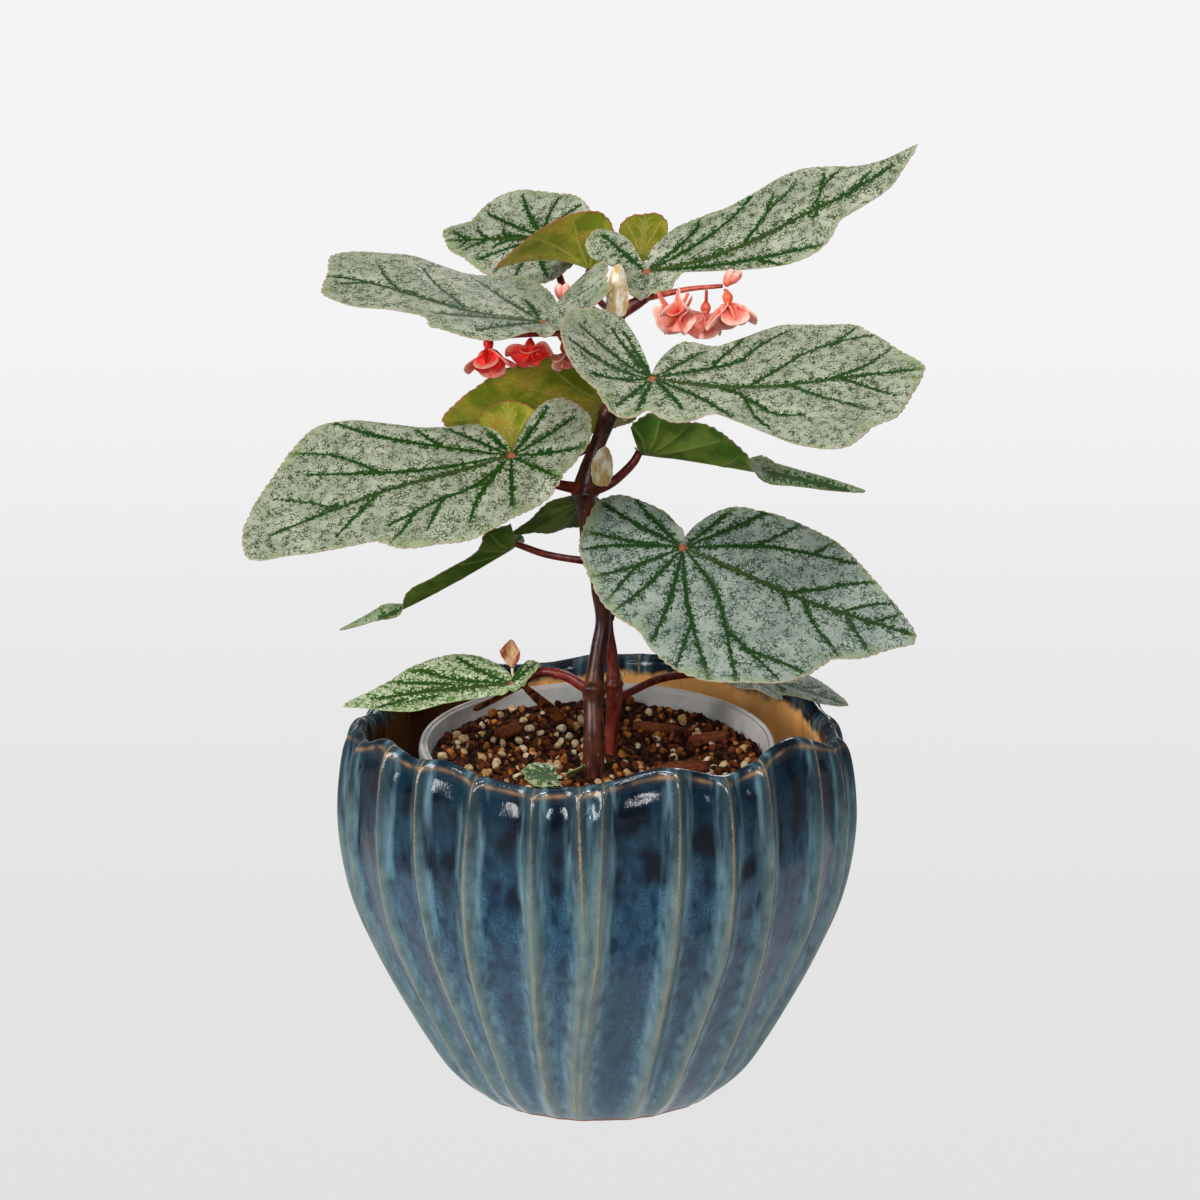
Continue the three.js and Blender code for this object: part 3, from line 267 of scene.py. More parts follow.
# Leaves, as in the solids: where the stalk meets the blade, the midrib's heading and pitch
# with the blade's roll, and the outline as [angle from the midrib, radius].
LEAVES = {
    "leaf_lower_right": {
        "at": [27.9, -22.0, 190.7], "aim": [-20, -16, 38], "length": 84,
        "outline": [
            [0, 82], [4, 76], [9, 68], [17, 59], [29, 49.5], [36, 43.5], [46, 36], [58, 28],
            [70, 23], [81, 17.5], [92, 11], [104, 4], [112, 6.5], [126, 9], [137, 17], [147, 22.5],
            [160, 30], [174, 33.5], [200, 34], [228, 33], [257, 35], [271, 36.5], [281, 42],
            [297, 50], [314, 56.5], [331, 63.5], [342, 64], [348, 71], [355, 78], [358, 82.5]],
    },
    "leaf_upper_right": {
        "at": [17.4, -42.0, 250.1], "aim": [-12, 5, 27], "length": 89, "lobe": 26,
        "outline": [
            [6, 78.5], [14, 71], [20, 66.5], [24, 59], [29, 52.5], [35, 46], [38, 34], [41, 26],
            [52, 22], [66, 19.5], [80, 14.5], [90, 8], [100, 3], [107, 10.5], [111, 22], [115, 31],
            [122, 34], [137, 34.5], [160, 29.5], [180, 26], [198, 22], [219, 19.5], [242, 21],
            [260, 21], [274, 17.5], [288, 22], [304, 27], [318, 31], [321, 43], [323, 63],
            [327, 75], [330, 78], [338, 79], [344, 84], [351, 85], [359, 87]],
    },
    "leaf_left": {
        "at": [-27.9, -12.0, 219.1], "aim": [200, -14, -28], "length": 94, "lobe": 12,
        "outline": [
            [4, 94.5], [6, 92], [8, 84], [11, 76], [14.5, 66.5], [18.5, 58], [26, 54.5], [37, 45],
            [48, 40.5], [58, 35], [71, 29.5], [87, 25], [115, 22], [129, 20.5], [143, 22],
            [155, 25.5], [171, 27.5], [187, 28.5], [205, 28], [220, 23.5], [227, 17], [230, 7],
            [240, 2], [252, 2.5], [262, 8.5], [275, 15], [283, 20], [301, 28], [309, 33.5],
            [313, 43], [316, 55], [322, 66], [331, 72], [339, 77], [352, 88], [357, 92]],
    },
    "leaf_upper_left": {
        "at": [-17.4, -12.0, 263.1], "aim": [190, 10, -16], "length": 72, "sag": 6, "lobe": 34,
        "outline": [
            [1, 51], [4, 46], [8, 41.5], [13, 40], [19.5, 41], [22, 38], [30, 32.5], [45.5, 23],
            [58, 14], [80, 10], [120, 9], [160, 12], [185, 20], [204, 21], [222, 26.5], [235, 30],
            [243, 27], [248, 17.5], [256, 22], [267, 28], [281, 34], [298, 37.5], [306, 40],
            [311, 47], [314, 56], [320, 63], [326, 73], [330, 76.5], [339, 73], [349, 72],
            [356, 65.5], [359.5, 60]],
    },
    "leaf_top_right": {
        "at": [16.0, 8.0, 276.2], "aim": [-4, 26, 34], "length": 97, "sag": -8, "lobe": 10,
        "right": -10,
        "outline": [
            [2, 70], [8, 61], [11, 54], [13, 44], [17, 34], [23, 30], [38, 24], [47, 19.5],
            [55, 13], [77, 5], [93, 7], [97, 19], [105, 27], [113, 31], [123, 29.5], [133, 24],
            [138, 12], [160, 9], [200, 9], [235, 11], [270, 12], [305, 13], [324, 15], [327, 27],
            [329, 42], [331, 52], [336, 62], [340, 65.5], [344, 68], [346, 76], [348, 85.5],
            [352, 93], [355, 98], [355.6, 87], [357.5, 78.5]],
    },
    "leaf_top_back": {
        "at": [-17.8, 70.6, 278.1], "aim": [150, -6, -35], "length": 45,
        "outline": [
            [0, 41], [8, 37], [20, 30], [40, 25], [60, 23], [90, 23], [120, 25], [150, 22],
            [175, 10], [190, 4], [205, 12], [225, 18], [250, 20], [280, 24], [298, 28],
            [312, 33], [332, 37], [342, 37], [352, 45]],
    },
    "leaf_top_folded": {
        "at": [-2.2, 43, 271.4], "aim": [184, 28, 24], "length": 31, "fold": 34, "sag": 17,
        "outline": [
            [0, 30], [18, 28], [40, 27], [65, 24], [90, 16], [120, 8], [155, 4], [180, 3],
            [205, 4], [225, 6], [255, 7], [285, 9], [315, 13], [340, 21]],
    },
    "leaf_top_young": {
        "at": [14.8, 47.0, 274.8], "aim": [-75, 74, 0], "length": 17,
        "outline": [
            [0, 16], [15, 16.5], [30, 15.5], [45, 12], [62, 8], [90, 4], [130, 2], [180, 2],
            [230, 2], [270, 4], [298, 8], [315, 12], [330, 15.5], [345, 16.5]],
    },
    "leaf_back_olive": {
        "at": [3.0, 21.0, 229.9], "aim": [181, -6, 50], "length": 55, "fold": 8,
        "outline": [
            [0, 55], [10, 49], [20, 43], [34, 38], [50, 32], [75, 24], [100, 19], [130, 13],
            [155, 6], [175, 3], [195, 7], [220, 13], [250, 16], [285, 17], [315, 23],
            [340, 36]],
    },
    "leaf_small_olive": {
        "at": [-28.1, 12.0, 216.1], "aim": [-100, 70, 0], "length": 20,
        "outline": [
            [0, 19], [30, 18], [50, 13], [75, 6], [110, 2.5], [150, 2], [210, 2], [250, 2.5],
            [285, 7], [305, 13], [330, 17]],
    },
    "leaf_right_folded": {
        "at": [15.8, 8.0, 215.9], "aim": [2, -8, -27], "length": 74, "fold": 33, "sag": 4.4,
        "twist": [1.5, 0.44],
        "outline": [
            [0.8, 74.7], [1.7, 65.7], [2.2, 59], [2.8, 52], [4, 44], [9, 40], [20, 34], [40, 27],
            [65, 20], [95, 12], [125, 5], [150, 2], [180, 2], [232, 2], [239, 6], [242, 14],
            [250, 15.5], [271, 16.5], [289, 17], [307, 20], [316, 22], [329, 26.5], [338, 30.5],
            [345, 34], [350, 37], [353.5, 39], [356, 42], [357.5, 48], [358.3, 54], [359, 62]],
    },
    "leaf_left_folded": {
        "at": [-28.4, 3.0, 184.9], "aim": [184, -32, 22], "length": 63, "fold": 26, "sag": -5,
        "twist": [-1.5, 0.6],
        "outline": [
            [2.6, 44.5], [5.7, 42], [9, 39], [12, 37], [14, 34.5], [16, 29], [19, 25.5],
            [24.5, 21], [34, 17], [56, 14], [81, 15.5], [98, 15], [109, 15], [112.5, 10], [116, 4],
            [140, 2], [180, 2], [205, 2.5], [228, 7], [255, 12], [290, 16], [318, 20], [340, 27],
            [350, 36], [355, 44], [357, 52], [357.8, 59], [358.4, 64], [359.2, 58], [359.8, 52]],
    },
    "leaf_inner_dark": {
        "at": [-3.0, 12.0, 199.2], "aim": [176, -17, 38], "length": 27,
        "outline": [
            [11, 16], [30, 12.5], [41, 10.5], [63, 8], [100, 7], [135, 5], [165, 3], [190, 3.5],
            [215, 5], [245, 7], [265, 8], [280, 9.5], [288, 15], [295, 20], [304, 20], [310, 22],
            [317, 24.5], [330.5, 25], [339, 28.5], [344, 30.5], [349.5, 25.5], [354, 21]],
    },
    "leaf_low_left": {
        "at": [-28.4, -8.0, 141.3], "aim": [187, -6, -25], "length": 56, "lobe": 4,
        "outline": [
            [0, 56], [2, 51], [8, 42], [14, 33], [15, 24], [24, 14], [45, 6], [90, 4], [150, 4],
            [190, 7], [208, 11], [224, 14], [236, 13], [243, 6], [250, 2.5], [266, 2.5], [271, 6],
            [281, 11], [296, 18], [312, 24.5], [324, 30], [335, 36], [345, 41], [353, 48]],
    },
    "leaf_rim_right": {
        "at": [46.1, 25.0, 137.7], "aim": [-8, -16, 12], "length": 42,
        "outline": [
            [0, 41], [10, 35], [25, 28], [50, 22], [80, 18], [110, 15], [140, 10], [160, 4],
            [180, 3], [200, 8], [225, 11], [255, 12], [280, 11], [300, 13], [318, 16],
            [325, 21], [332, 22], [342, 20], [350, 24], [354, 34]],
    },
    "seedling": {
        "at": [-15, -24, 114.4], "aim": [190, 4, -14], "length": 13,
        "outline": [
            [0, 9], [20, 10], [45, 9], [75, 8], [105, 7], [130, 3], [150, 4], [180, 3],
            [210, 3], [230, 3], [255, 8], [290, 9], [320, 9.5], [345, 10]],
    },
}

# Veins read off the leaves that show them, the midrib first: [angle, radius].
VEINS = {
    "leaf_lower_right": [
        [[0, 0], [357, 20], [357, 45], [359, 66], [0, 82]],
        [[28, 8], [26, 26], [22, 40], [18, 56]], [[27, 24], [36, 34], [42, 43]],
        [[21, 42], [27, 48], [31, 52]], [[45, 8], [52, 28], [55, 35]],
        [[62, 8], [68, 20], [70, 27]], [[357, 38], [5, 48], [9, 54], [12, 64]],
        [[357, 55], [4, 64], [7, 72]], [[358, 66], [4, 74]],
        [[340, 6], [326, 20], [318, 34], [312, 57]], [[318, 36], [322, 46], [325, 60]],
        [[320, 44], [329, 54], [333, 62]], [[292, 8], [298, 20], [301, 34], [304, 54]],
        [[300, 30], [295, 38], [292, 46]], [[287, 12], [283, 22], [280, 38]],
        [[262, 6], [257, 20], [253, 34]], [[235, 8], [230, 20], [227, 33]],
        [[231, 16], [240, 24], [245, 32]], [[205, 6], [196, 18], [192, 33]],
        [[196, 14], [203, 24], [206, 32]], [[178, 8], [173, 20], [171, 32]],
        [[160, 6], [155, 18], [153, 25]], [[356, 44], [349, 52], [345, 64]],
        [[357, 60], [352, 68], [349, 76]], [[357, 36], [349, 42]],
    ],
    "leaf_upper_right": [
        [[348, 8], [345, 20], [350, 40], [356, 60], [359, 86]],
        [[348, 32], [2, 40], [10, 48], [13.5, 60], [13, 72]], [[12, 57], [18, 66]],
        [[20, 10], [12, 20], [14, 28], [24, 36], [28, 46]], [[18, 20], [30, 28], [40, 38]],
        [[40, 8], [42, 20]], [[356, 58], [1, 68], [7, 76]],
        [[345, 22], [340, 32], [328, 42], [325, 50]], [[338, 35], [333, 48], [337, 56]],
        [[325, 6], [308, 12], [306, 20]], [[352, 44], [347, 56], [344, 74]],
        [[356, 60], [352, 72], [350, 80]], [[330, 10], [326, 22], [322, 36]],
        [[112, 10], [118, 24]], [[122, 8], [126, 26]], [[140, 8], [146, 28]],
        [[162, 10], [168, 24]], [[190, 8], [192, 18]], [[235, 8], [238, 17]],
        [[258, 8], [262, 17]],
    ],
    "leaf_left": [
        [[0, 0], [357, 20], [356, 40], [358, 60], [0, 84]],
        [[350, 8], [347, 30], [343, 50], [341, 66]],
        [[343, 44], [336, 52], [333, 60], [333, 76]],
        [[325, 8], [323, 30], [322, 45], [319, 62]], [[322, 24], [313, 34]],
        [[305, 8], [302, 26]], [[280, 6], [279, 16]], [[40, 6], [26, 18], [17, 32], [15, 50]],
        [[18, 29], [24, 36], [28, 43]], [[16, 40], [20, 46], [22, 54]],
        [[357, 46], [4, 56], [9, 66]], [[30, 14], [38, 22], [43, 33]], [[65, 8], [68, 24]],
        [[115, 10], [118, 20]], [[156, 10], [154, 24]], [[184, 8], [188, 24]],
        [[212, 8], [214, 22]], [[358, 60], [351, 70], [348, 78]],
    ],
    "leaf_upper_left": [
        [[0, 10], [358, 22], [350, 34], [344, 46], [340, 62], [340, 72]],
        [[341, 60], [344, 68]], [[352, 26], [340, 30], [330, 38], [320, 48]],
        [[315, 8], [309, 20], [306, 32]], [[344, 47], [334, 55], [328, 60]],
        [[290, 8], [285, 16]], [[8, 10], [6, 25], [4, 36]], [[30, 8], [28, 25]],
    ],
    "leaf_top_right": [
        [[335, 8], [341, 22], [346, 40], [350, 58], [351, 72], [353, 88]],
        [[350, 12], [4, 20], [8, 32], [12, 41]], [[10, 12], [22, 22], [30, 25]],
        [[344, 34], [354, 40], [0, 46], [4, 56]], [[359, 44], [6, 48]],
        [[348, 60], [357, 64], [0, 72]], [[357, 63], [1, 66]], [[350, 71], [354, 80]],
        [[332, 10], [333, 30], [337, 62]], [[334, 40], [330, 50]], [[118, 8], [112, 26]],
    ],
    "leaf_low_left": [
        [[357, 10], [357, 30], [358, 45]], [[325, 6], [317, 14], [315, 22]],
        [[345, 10], [342, 20], [336, 30], [336, 38]], [[350, 20], [347, 34], [346, 42]],
        [[3, 25], [4, 35]], [[2, 36], [4, 45]], [[225, 6], [222, 12]], [[240, 6], [238, 11]],
    ],
}

# Leaf stalks: leaf, radii at the cane and the blade, where it meets the blade, points.
MAIN_STALKS = [
    ["leaf_low_left", 1.9, 1.3, "below", [
        [-1, -5, 138.5], [-4.6, -5, 139.4], [-8.9, -4, 141.9], [-12.2, -3, 143],
        [-16.2, -1.5, 143.4], [-20.2, -0.5, 142.6], [-25, -4, 140.6]]],
    ["leaf_left_folded", 1.4, 1.1, 180, [[-1.4, 0, 181], [-5.6, 0, 181.2], [-17.2, 1, 183]]],
    ["leaf_inner_dark", 1.4, 1, "below", [[-3.6, 0, 198], [-3.6, 5, 196.6], [-3.3, 9, 196.4]]],
    ["leaf_right_folded", 1.8, 1.3, 150, [
        [-3, 0.6, 204.6], [2, 2, 205.4], [5.6, 3, 207.2], [12, 7, 212.6]]],
    ["leaf_left", 1.8, 1.4, "below", [[-3.8, 0, 205], [-12, -5, 207.6], [-22, -9, 211.6]]],
    ["leaf_small_olive", 1.1, 0.9, 180, [[0.3, 2, 220], [-9, 9, 214], [-20, 16, 209]]],
    ["leaf_back_olive", 1.5, 1.2, "below", [[3.6, 3, 229.4], [3.2, 9, 226.8], [3, 14, 225.4]]],
    ["leaf_upper_right", 1.9, 1.4, "below", [[5.2, 2.6, 239], [9, -10, 240], [14, -27, 244]]],
    ["leaf_upper_left", 1.6, 1.2, "below", [[6.4, 2, 264], [0, -2, 261], [-9, -8, 259.6]]],
    ["leaf_top_back", 1.4, 1.1, "below", [[6.6, 2, 265], [1, 20, 260], [-8, 52, 256]]],
    ["leaf_top_folded", 1.3, 1.1, "below", [[6.6, 2, 264.6], [5, 16, 262.6], [1, 34, 262]]],
    ["leaf_top_right", 2.1, 1.5, "below", [[6.6, 2, 263.2], [14, 4, 267], [17.2, 6.4, 269.6]]],
    ["leaf_top_young", 1, 0.8, 180, [[8, 2.4, 265], [12, 18, 263.6], [14, 36, 264.6]]],
]
SECOND_STALKS = [
    ["leaf_lower_right", 2, 1.5, "below", [[3.3, 7.2, 160], [6, 5, 167], [16, -6, 177]]],
    ["leaf_rim_right", 1.5, 1.1, "below", [
        [6, 8, 132], [9, 9, 132.6], [21.2, 16, 136.3], [33, 20, 137]]],
]
STALK_RUN = 1.5  # straight run where a stalk meets the blade from below

# What all blades share.
TWIST_RUN = 0.16  # share of the length in which a blade turns over
TOOTH_LENGTHS = (1.9, 3.8)  # along the margin
TOOTH_LEAN = 0.7  # share of a tooth that rises; the rest falls back
MAIN_VEIN_START = 15  # a vein that starts nearer to the stalk than this is a main one
PUCKER = 2.2  # from a vein to where the tissue beside it is full
CORD_WIDTH = 0.7  # of the veins as they stand out below
RIB_WIDTH = 0.35  # of the bare midrib
# Leaves over so many mm long: thickness, rays and rings of points, depth of the teeth, height
# and number of the waves, and height of the quilting.
LEAF_KINDS = [(70, 0.5, 440, 100, 0.9, 1, 7, 0.5), (35, 0.5, 320, 70, 0.8, 0.7, 6, 0.4),
              (0, 0.45, 200, 40, 0.7, 0.4, 5, 0.25)]

# Flower stalks: radii, then points.
FLOWER_STALKS = [
    [1.2, 0.7, [[15, 4.6, 267.6], [22, -1.5, 270.2], [30.1, -6, 272.6], [40.3, -10, 274.2]]],
    [1.2, 0.8, [
        [6.4, 2, 262], [-1, 3, 259], [-8, 2, 257], [-18.5, 0, 256.8], [-28.3, -1, 256.4],
        [-34, -1.6, 255.8]]],
    [0.8, 0.6, [[6.2, 2.4, 262], [1, 7, 263], [-4, 11, 265], [-7.6, 13.6, 267.6]]],
]

# Flowers: petals are [turn, length, width, opening angle]; the seed pod is [run, radius].
PETAL_ROOT = 1.4
SEED_POD = [[-3.4, 0.8], [-1.6, 1.7], [0.8, 1.1]]
FLOWERS = {
    "flower_right_near": {
        "at": [26.6, -11.4, 266], "hang": [-0.3, -0.75, -0.5], "stalk": [29.4, -7.4, 271.4],
        "petals": [[20, 7.2, 9.5, 54], [200, 7.2, 9.5, 52], [110, 6.2, 7, 34], [290, 6.2, 7, 34]],
    },
    "flower_right_middle": {
        "at": [35.2, -2.6, 264.4], "hang": [-0.05, 0.05, -1], "stalk": [35.4, -6, 272],
        "petals": [[0, 8.6, 9, 36], [180, 8.6, 9, 34], [90, 7.6, 6, 26], [270, 7.6, 6, 26]],
    },
    "flower_right_far": {
        "at": [42.2, -13.2, 269.6], "hang": [0.14, -0.26, -1], "stalk": [41.2, -10.8, 273],
        "petals": [[40, 10, 8, 34], [130, 9, 6, 28], [220, 10, 8, 34], [310, 9, 6, 28]],
    },
    "flower_left_outer": {
        "at": [-35.2, -3, 252.8], "hang": [0.05, -0.3, -1], "stalk": [-34.2, -1.8, 254.4],
        "petals": [[30, 9.5, 7, 38], [120, 8, 5, 30], [210, 9.5, 6, 34], [300, 9, 5, 16]],
    },
    "flower_left_middle": {
        "at": [-21.8, -1.6, 252], "hang": [0, -0.6, -1], "stalk": [-21.4, -0.4, 255.2],
        "petals": [[0, 6.4, 7, 68], [180, 6.8, 7, 68], [90, 6, 5, 52], [270, 6, 5, 52]],
    },
    "flower_left_inner": {
        "at": [-10, 1.6, 250.6], "hang": [0.35, -0.6, -1], "stalk": [-12.4, 1.6, 255.6],
        "petals": [[0, 6.4, 6, 46], [180, 5.6, 6, 46], [90, 5.6, 5, 42], [270, 5.6, 5, 42]],
    },
}
BUDS = {
    "bud_right": {
        "at": [43.2, -13.4, 277.4], "stalk": [40.9, -10.6, 275.4], "radius": 2.3, "lean": 36},
    "bud_left": {
        "at": [-11.4, 15.6, 268], "stalk": [-8.6, 14.4, 268.4], "radius": 2.2, "lean": 0},
    "bud_middle": {
        "at": [-1.6, 15.4, 266.8], "stalk": [-2.4, 12, 265.8], "radius": 2.2, "lean": -8},
}

# The seedling: where its stalk stands and the height where a second stalk leaves it for a
# younger leaf.
SEEDLING_STALK = [-14.6, -22]
SEEDLING_BEND = 112.6
SEEDLING_SECOND = {
    "at": [-8.6, -23.4, 114.4], "aim": [-40, 40, 0], "length": 7,
    "outline": [[0, 6.4], [30, 6], [60, 5], [90, 3], [140, 1.4], [180, 1.2], [220, 1.4],
                [270, 3], [300, 5], [330, 6]],
}

# Small stalks of the canes: an old stipule and the foot of the bract.
SECOND_SPIKE = [[5.8, 8, 138], [8.4, 7.8, 139.4], [9.2, 7.6, 141.4]]
BRACT_STALK = [[-26, -4, 140.6], [-27.7, -3.9, 142.6], [-28.1, -4.1, 145.4]]

# Stipules, bract and withered leaf.
SMALL_BLADES = {
    "stipule_top": {
        "at": [6.8, -3.4, 264.9], "aim": [-84, 88, 0], "length": 15, "fold": 30,
        "outline": [[0, 15.6], [20, 9], [50, 4.6], [90, 3.4], [180, 2], [270, 3.4], [310, 4.6],
                    [340, 9]],
    },
    "stipule_middle": {
        "at": [2, -4.2, 208.6], "aim": [-70, 86, 0], "length": 13, "fold": 26,
        "outline": [[0, 12], [20, 9], [50, 4.8], [90, 3.4], [180, 1.6], [270, 3.4], [310, 4.8],
                    [340, 9]],
    },
    "stipule_upper": {
        "at": [8, -0.4, 235], "aim": [-50, -72, 0], "length": 7, "fold": 20,
        "outline": [[0, 7], [30, 3], [90, 2], [180, 1.4], [270, 2], [330, 3]],
    },
    "bract_low": {
        "at": [-28.2, -4.3, 146.6], "aim": [92, 80, 0], "length": 8, "fold": 16,
        "outline": [
            [0, 8.4], [20, 7], [40, 6.2], [60, 2.8], [100, 1.2], [180, 0.9], [260, 1.2],
            [300, 2.6], [326, 4.8], [345, 6.4]],
    },
    "leaf_withered": {
        "at": [-24.7, 7, 136.6], "aim": [180, -27, 40], "length": 42,
        "outline": [
            [0, 19], [6, 17.5], [8, 11], [12, 5], [25, 2.4], [90, 1.8], [150, 1.8], [220, 1.8],
            [245, 2.6], [255, 7], [259, 14], [262, 30], [263.5, 38], [266, 39], [268.5, 38],
            [270, 30], [273, 14], [277, 7], [287, 2.6], [320, 2], [340, 2.8], [350, 6], [353, 12],
            [355, 18]],
    },
}


# ------------------------------------------------------------------ material helpers
def linear(code):
    """An sRGB hex colour as linear red, green, blue and alpha."""
    parts = [int(code[i:i + 2], 16) / 255 for i in (1, 3, 5)]
    return [c / 12.92 if c <= 0.04045 else ((c + 0.055) / 1.055) ** 2.4 for c in parts] + [1]


# What most nodes of a kind share: settings, the inputs that a list fills, and the output.
USUAL_SETTINGS = {"Mix": {"data_type": "RGBA"}}
USUAL_INPUTS = {"Mix": (0, 6, 7)}
USUAL_OUTPUT = {"Mix": 2, "Attribute": "Fac", "TexCoord": "Object", "TexNoise": "Fac",
                "TexVoronoi": "Distance"}


def fill(tree, socket, value):
    """Links an output to an input, or sets the input to a number or a hex colour."""
    if isinstance(value, bpy.types.NodeSocket):
        tree.links.new(value, socket)
    else:
        socket.default_value = linear(value) if isinstance(value, str) else value


def add(tree, kind, links=(), out=None, **settings):
    """Adds a node and gives its output; links holds a value or an output for each input."""
    made = tree.nodes.new("ShaderNode" + kind)
    for name, value in {**USUAL_SETTINGS.get(kind, {}), **settings}.items():
        setattr(made, name, value)
    if not isinstance(links, dict):
        links = dict(zip(USUAL_INPUTS.get(kind, range(len(links))), links))
    for name, value in links.items():
        fill(tree, made.inputs[name], value)
    return made.outputs[USUAL_OUTPUT.get(kind, 0) if out is None else out]


def surface(name, **constants):
    """For a new material: what adds a node to it, and what finishes and returns it."""
    material = bpy.data.materials.new(name)
    material.use_nodes = True
    tree = material.node_tree
    shader = tree.nodes["Principled BSDF"]

    def fill_shader(**sockets):
        for socket, value in sockets.items():
            fill(tree, shader.inputs[socket.replace("_", " ")], value)

    def finish(colour, height, depth, strength, **others):
        """Gives the shader a colour, a relief so many mm deep and what else varies."""
        relief = add(tree, "Bump", {"Height": height, "Distance": depth * MM,
                                    "Strength": strength})
        fill_shader(Base_Color=colour, Normal=relief, **others)
        return material

    fill_shader(**constants)
    return partial(add, tree), finish


def per_mm(across, up):
    """Scale of a pattern whose patches are so many mm across and so many mm high."""
    return [1 / (across * MM), 1 / (across * MM), 1 / (up * MM)]


# ------------------------------------------------------------------ the plant's skins
def leaf_skin(name, band, silver, fleck, cover=1.0, dot=0.8, under=("#5d7438", "#76894a"),
              under_vein="#93a060", patch="#8d5a3c", margin="#a8917a", young=0.0):
    """Living leaf, waxy skin over green tissue. Air under the skin shows as silver blisters,
    single dots beside the veins and grown together between them, so the veins read as dark
    green bands with a ragged fringe and the finest veins as dark flecks in the silver."""
    node, finish = surface(name, Roughness=0.5, Specular_IOR_Level=0.22)
    blade = node("Attribute", (), "Vector", attribute_name="blade")
    vein, rib, scar, edge, upper = (node("Attribute", attribute_name=label)
                                    for label in ("vein", "rib", "scar", "edge", "upper"))
    cloud = node("TexNoise", {"Vector": blade, "Scale": 0.11, "Detail": 3.0})
    grain = node("TexNoise", {"Vector": blade, "Scale": 1.5, "Detail": 3.0})

    # the fringe of a vein wanders by 1 mm in steps of 1 mm; dot is the blisters' width in mm
    fray = node("TexNoise", {"Vector": blade, "Scale": 0.95, "Detail": 2.0})
    shift = node("Math", [fray, 9.0, -4.5], operation="MULTIPLY_ADD")
    away = node("Math", [vein, shift], operation="ADD")
    dots = node("TexVoronoi", {"Vector": blade, "Scale": 1 / dot})
    size = node("MapRange", [away, 0.8, 2.6, 0.34, cover], interpolation_type="SMOOTHSTEP")
    spare = node("Math", [size, dots], operation="SUBTRACT")
    spot = node("MapRange", [spare, -0.05, 0.07, 0, 1])
    core = node("MapRange", [vein, 0.65, 0.95, 0, 1])
    spot = node("Math", [spot, core], operation="MULTIPLY")

    # the finest veins are broken dark lines about 1.2 mm apart, bold in some places
    wavy = node("TexNoise", {"Vector": blade, "Scale": 0.8, "Detail": 4.0, "Roughness": 0.62})
    off = node("Math", [wavy, 0.5], operation="SUBTRACT")
    off = node("Math", [off], operation="ABSOLUTE")
    bold = node("TexNoise", {"Vector": blade, "Scale": 0.34, "Detail": 2.0})
    width = node("MapRange", [bold, 0.36, 0.64, 0.002, 0.056])
    strand = node("Math", [off, width], operation="SUBTRACT")
    open_net = node("MapRange", [strand, -0.006, 0.01, 0, 1])

    greening = node("MapRange", [away, 0.5, 4.5, 0, 0.7])
    green = node("Mix", [greening, band[0], band[1]])
    tint = node("Math", [cloud, grain], operation="ADD")
    tone = node("MapRange", [tint, 0.75, 1.25, 0, 1])
    pale = node("Mix", [tone, silver[0], silver[1]])
    share = node("MapRange", [grain, 0.5, 0.68, 0, 0.35])
    pale = node("Mix", [share, pale, fleck])
    pale = node("Mix", [open_net, fleck, pale])
    top = node("Mix", [spot, green, pale])
    # yellower near the margin, where the tissue is thin
    thin = node("Math", [cloud, 16.0, edge], operation="MULTIPLY_ADD")
    share = node("MapRange", [thin, 5.5, 11.0, 0.6, 0])
    top = node("Mix", [share, top, "#8c9c66"])
    share = node("Math", [rib, 0.45], operation="MULTIPLY")
    top = node("Mix", [share, top, "#5d4c30"])
    red = node("Math", [fray, 0.9, scar], operation="MULTIPLY_ADD")
    red = node("MapRange", [red, 0.75, 1.2, 0, 0.85])
    top = node("Mix", [red, top, "#94502f"])

    share = node("MapRange", [cloud, 0.42, 0.6, 0, 1])
    back = node("Mix", [share, under[0], under[1]])
    line = node("MapRange", [vein, 0.2, 0.9, 0.55, 0])
    back = node("Mix", [line, back, under_vein])
    share = node("MapRange", [tint, 0.96, 1.16, 0, young])
    back = node("Mix", [share, back, patch])
    colour = node("Mix", [upper, back, top])
    rim = node("MapRange", [edge, 0.15, 0.6, 0.8, 0])
    colour = node("Mix", [rim, colour, margin])

    raised = node("Math", [spot, 0.6, grain], operation="MULTIPLY_ADD")
    return finish(colour, raised, 0.12, 0.7)


def cane_skin(name, low, high, spot):
    """Cane begonia stem, smooth and fleshy, with pale breathing spots 1 mm long."""
    node, finish = surface(name, Roughness=0.36, Specular_IOR_Level=0.35)
    place = node("TexCoord")
    wide = node("Mapping", {"Vector": place, "Scale": per_mm(2.5, 9)})
    streaks = node("TexNoise", {"Vector": wide, "Scale": 1.0})
    share = node("MapRange", [streaks, 0.38, 0.66, 0, 1])
    colour = node("Mix", [share, low, high])
    even = node("Mapping", {"Vector": place, "Scale": per_mm(2.2, 3.4)})
    spots = node("TexVoronoi", {"Vector": even, "Scale": 1.0})
    pale = node("MapRange", [spots, 0.1, 0.22, 0.45, 0])
    colour = node("Mix", [pale, colour, spot])
    slim = node("Mapping", {"Vector": place, "Scale": per_mm(0.8, 4)})
    fine = node("TexNoise", {"Vector": slim, "Scale": 1.0})
    return finish(colour, fine, 0.15, 0.6)


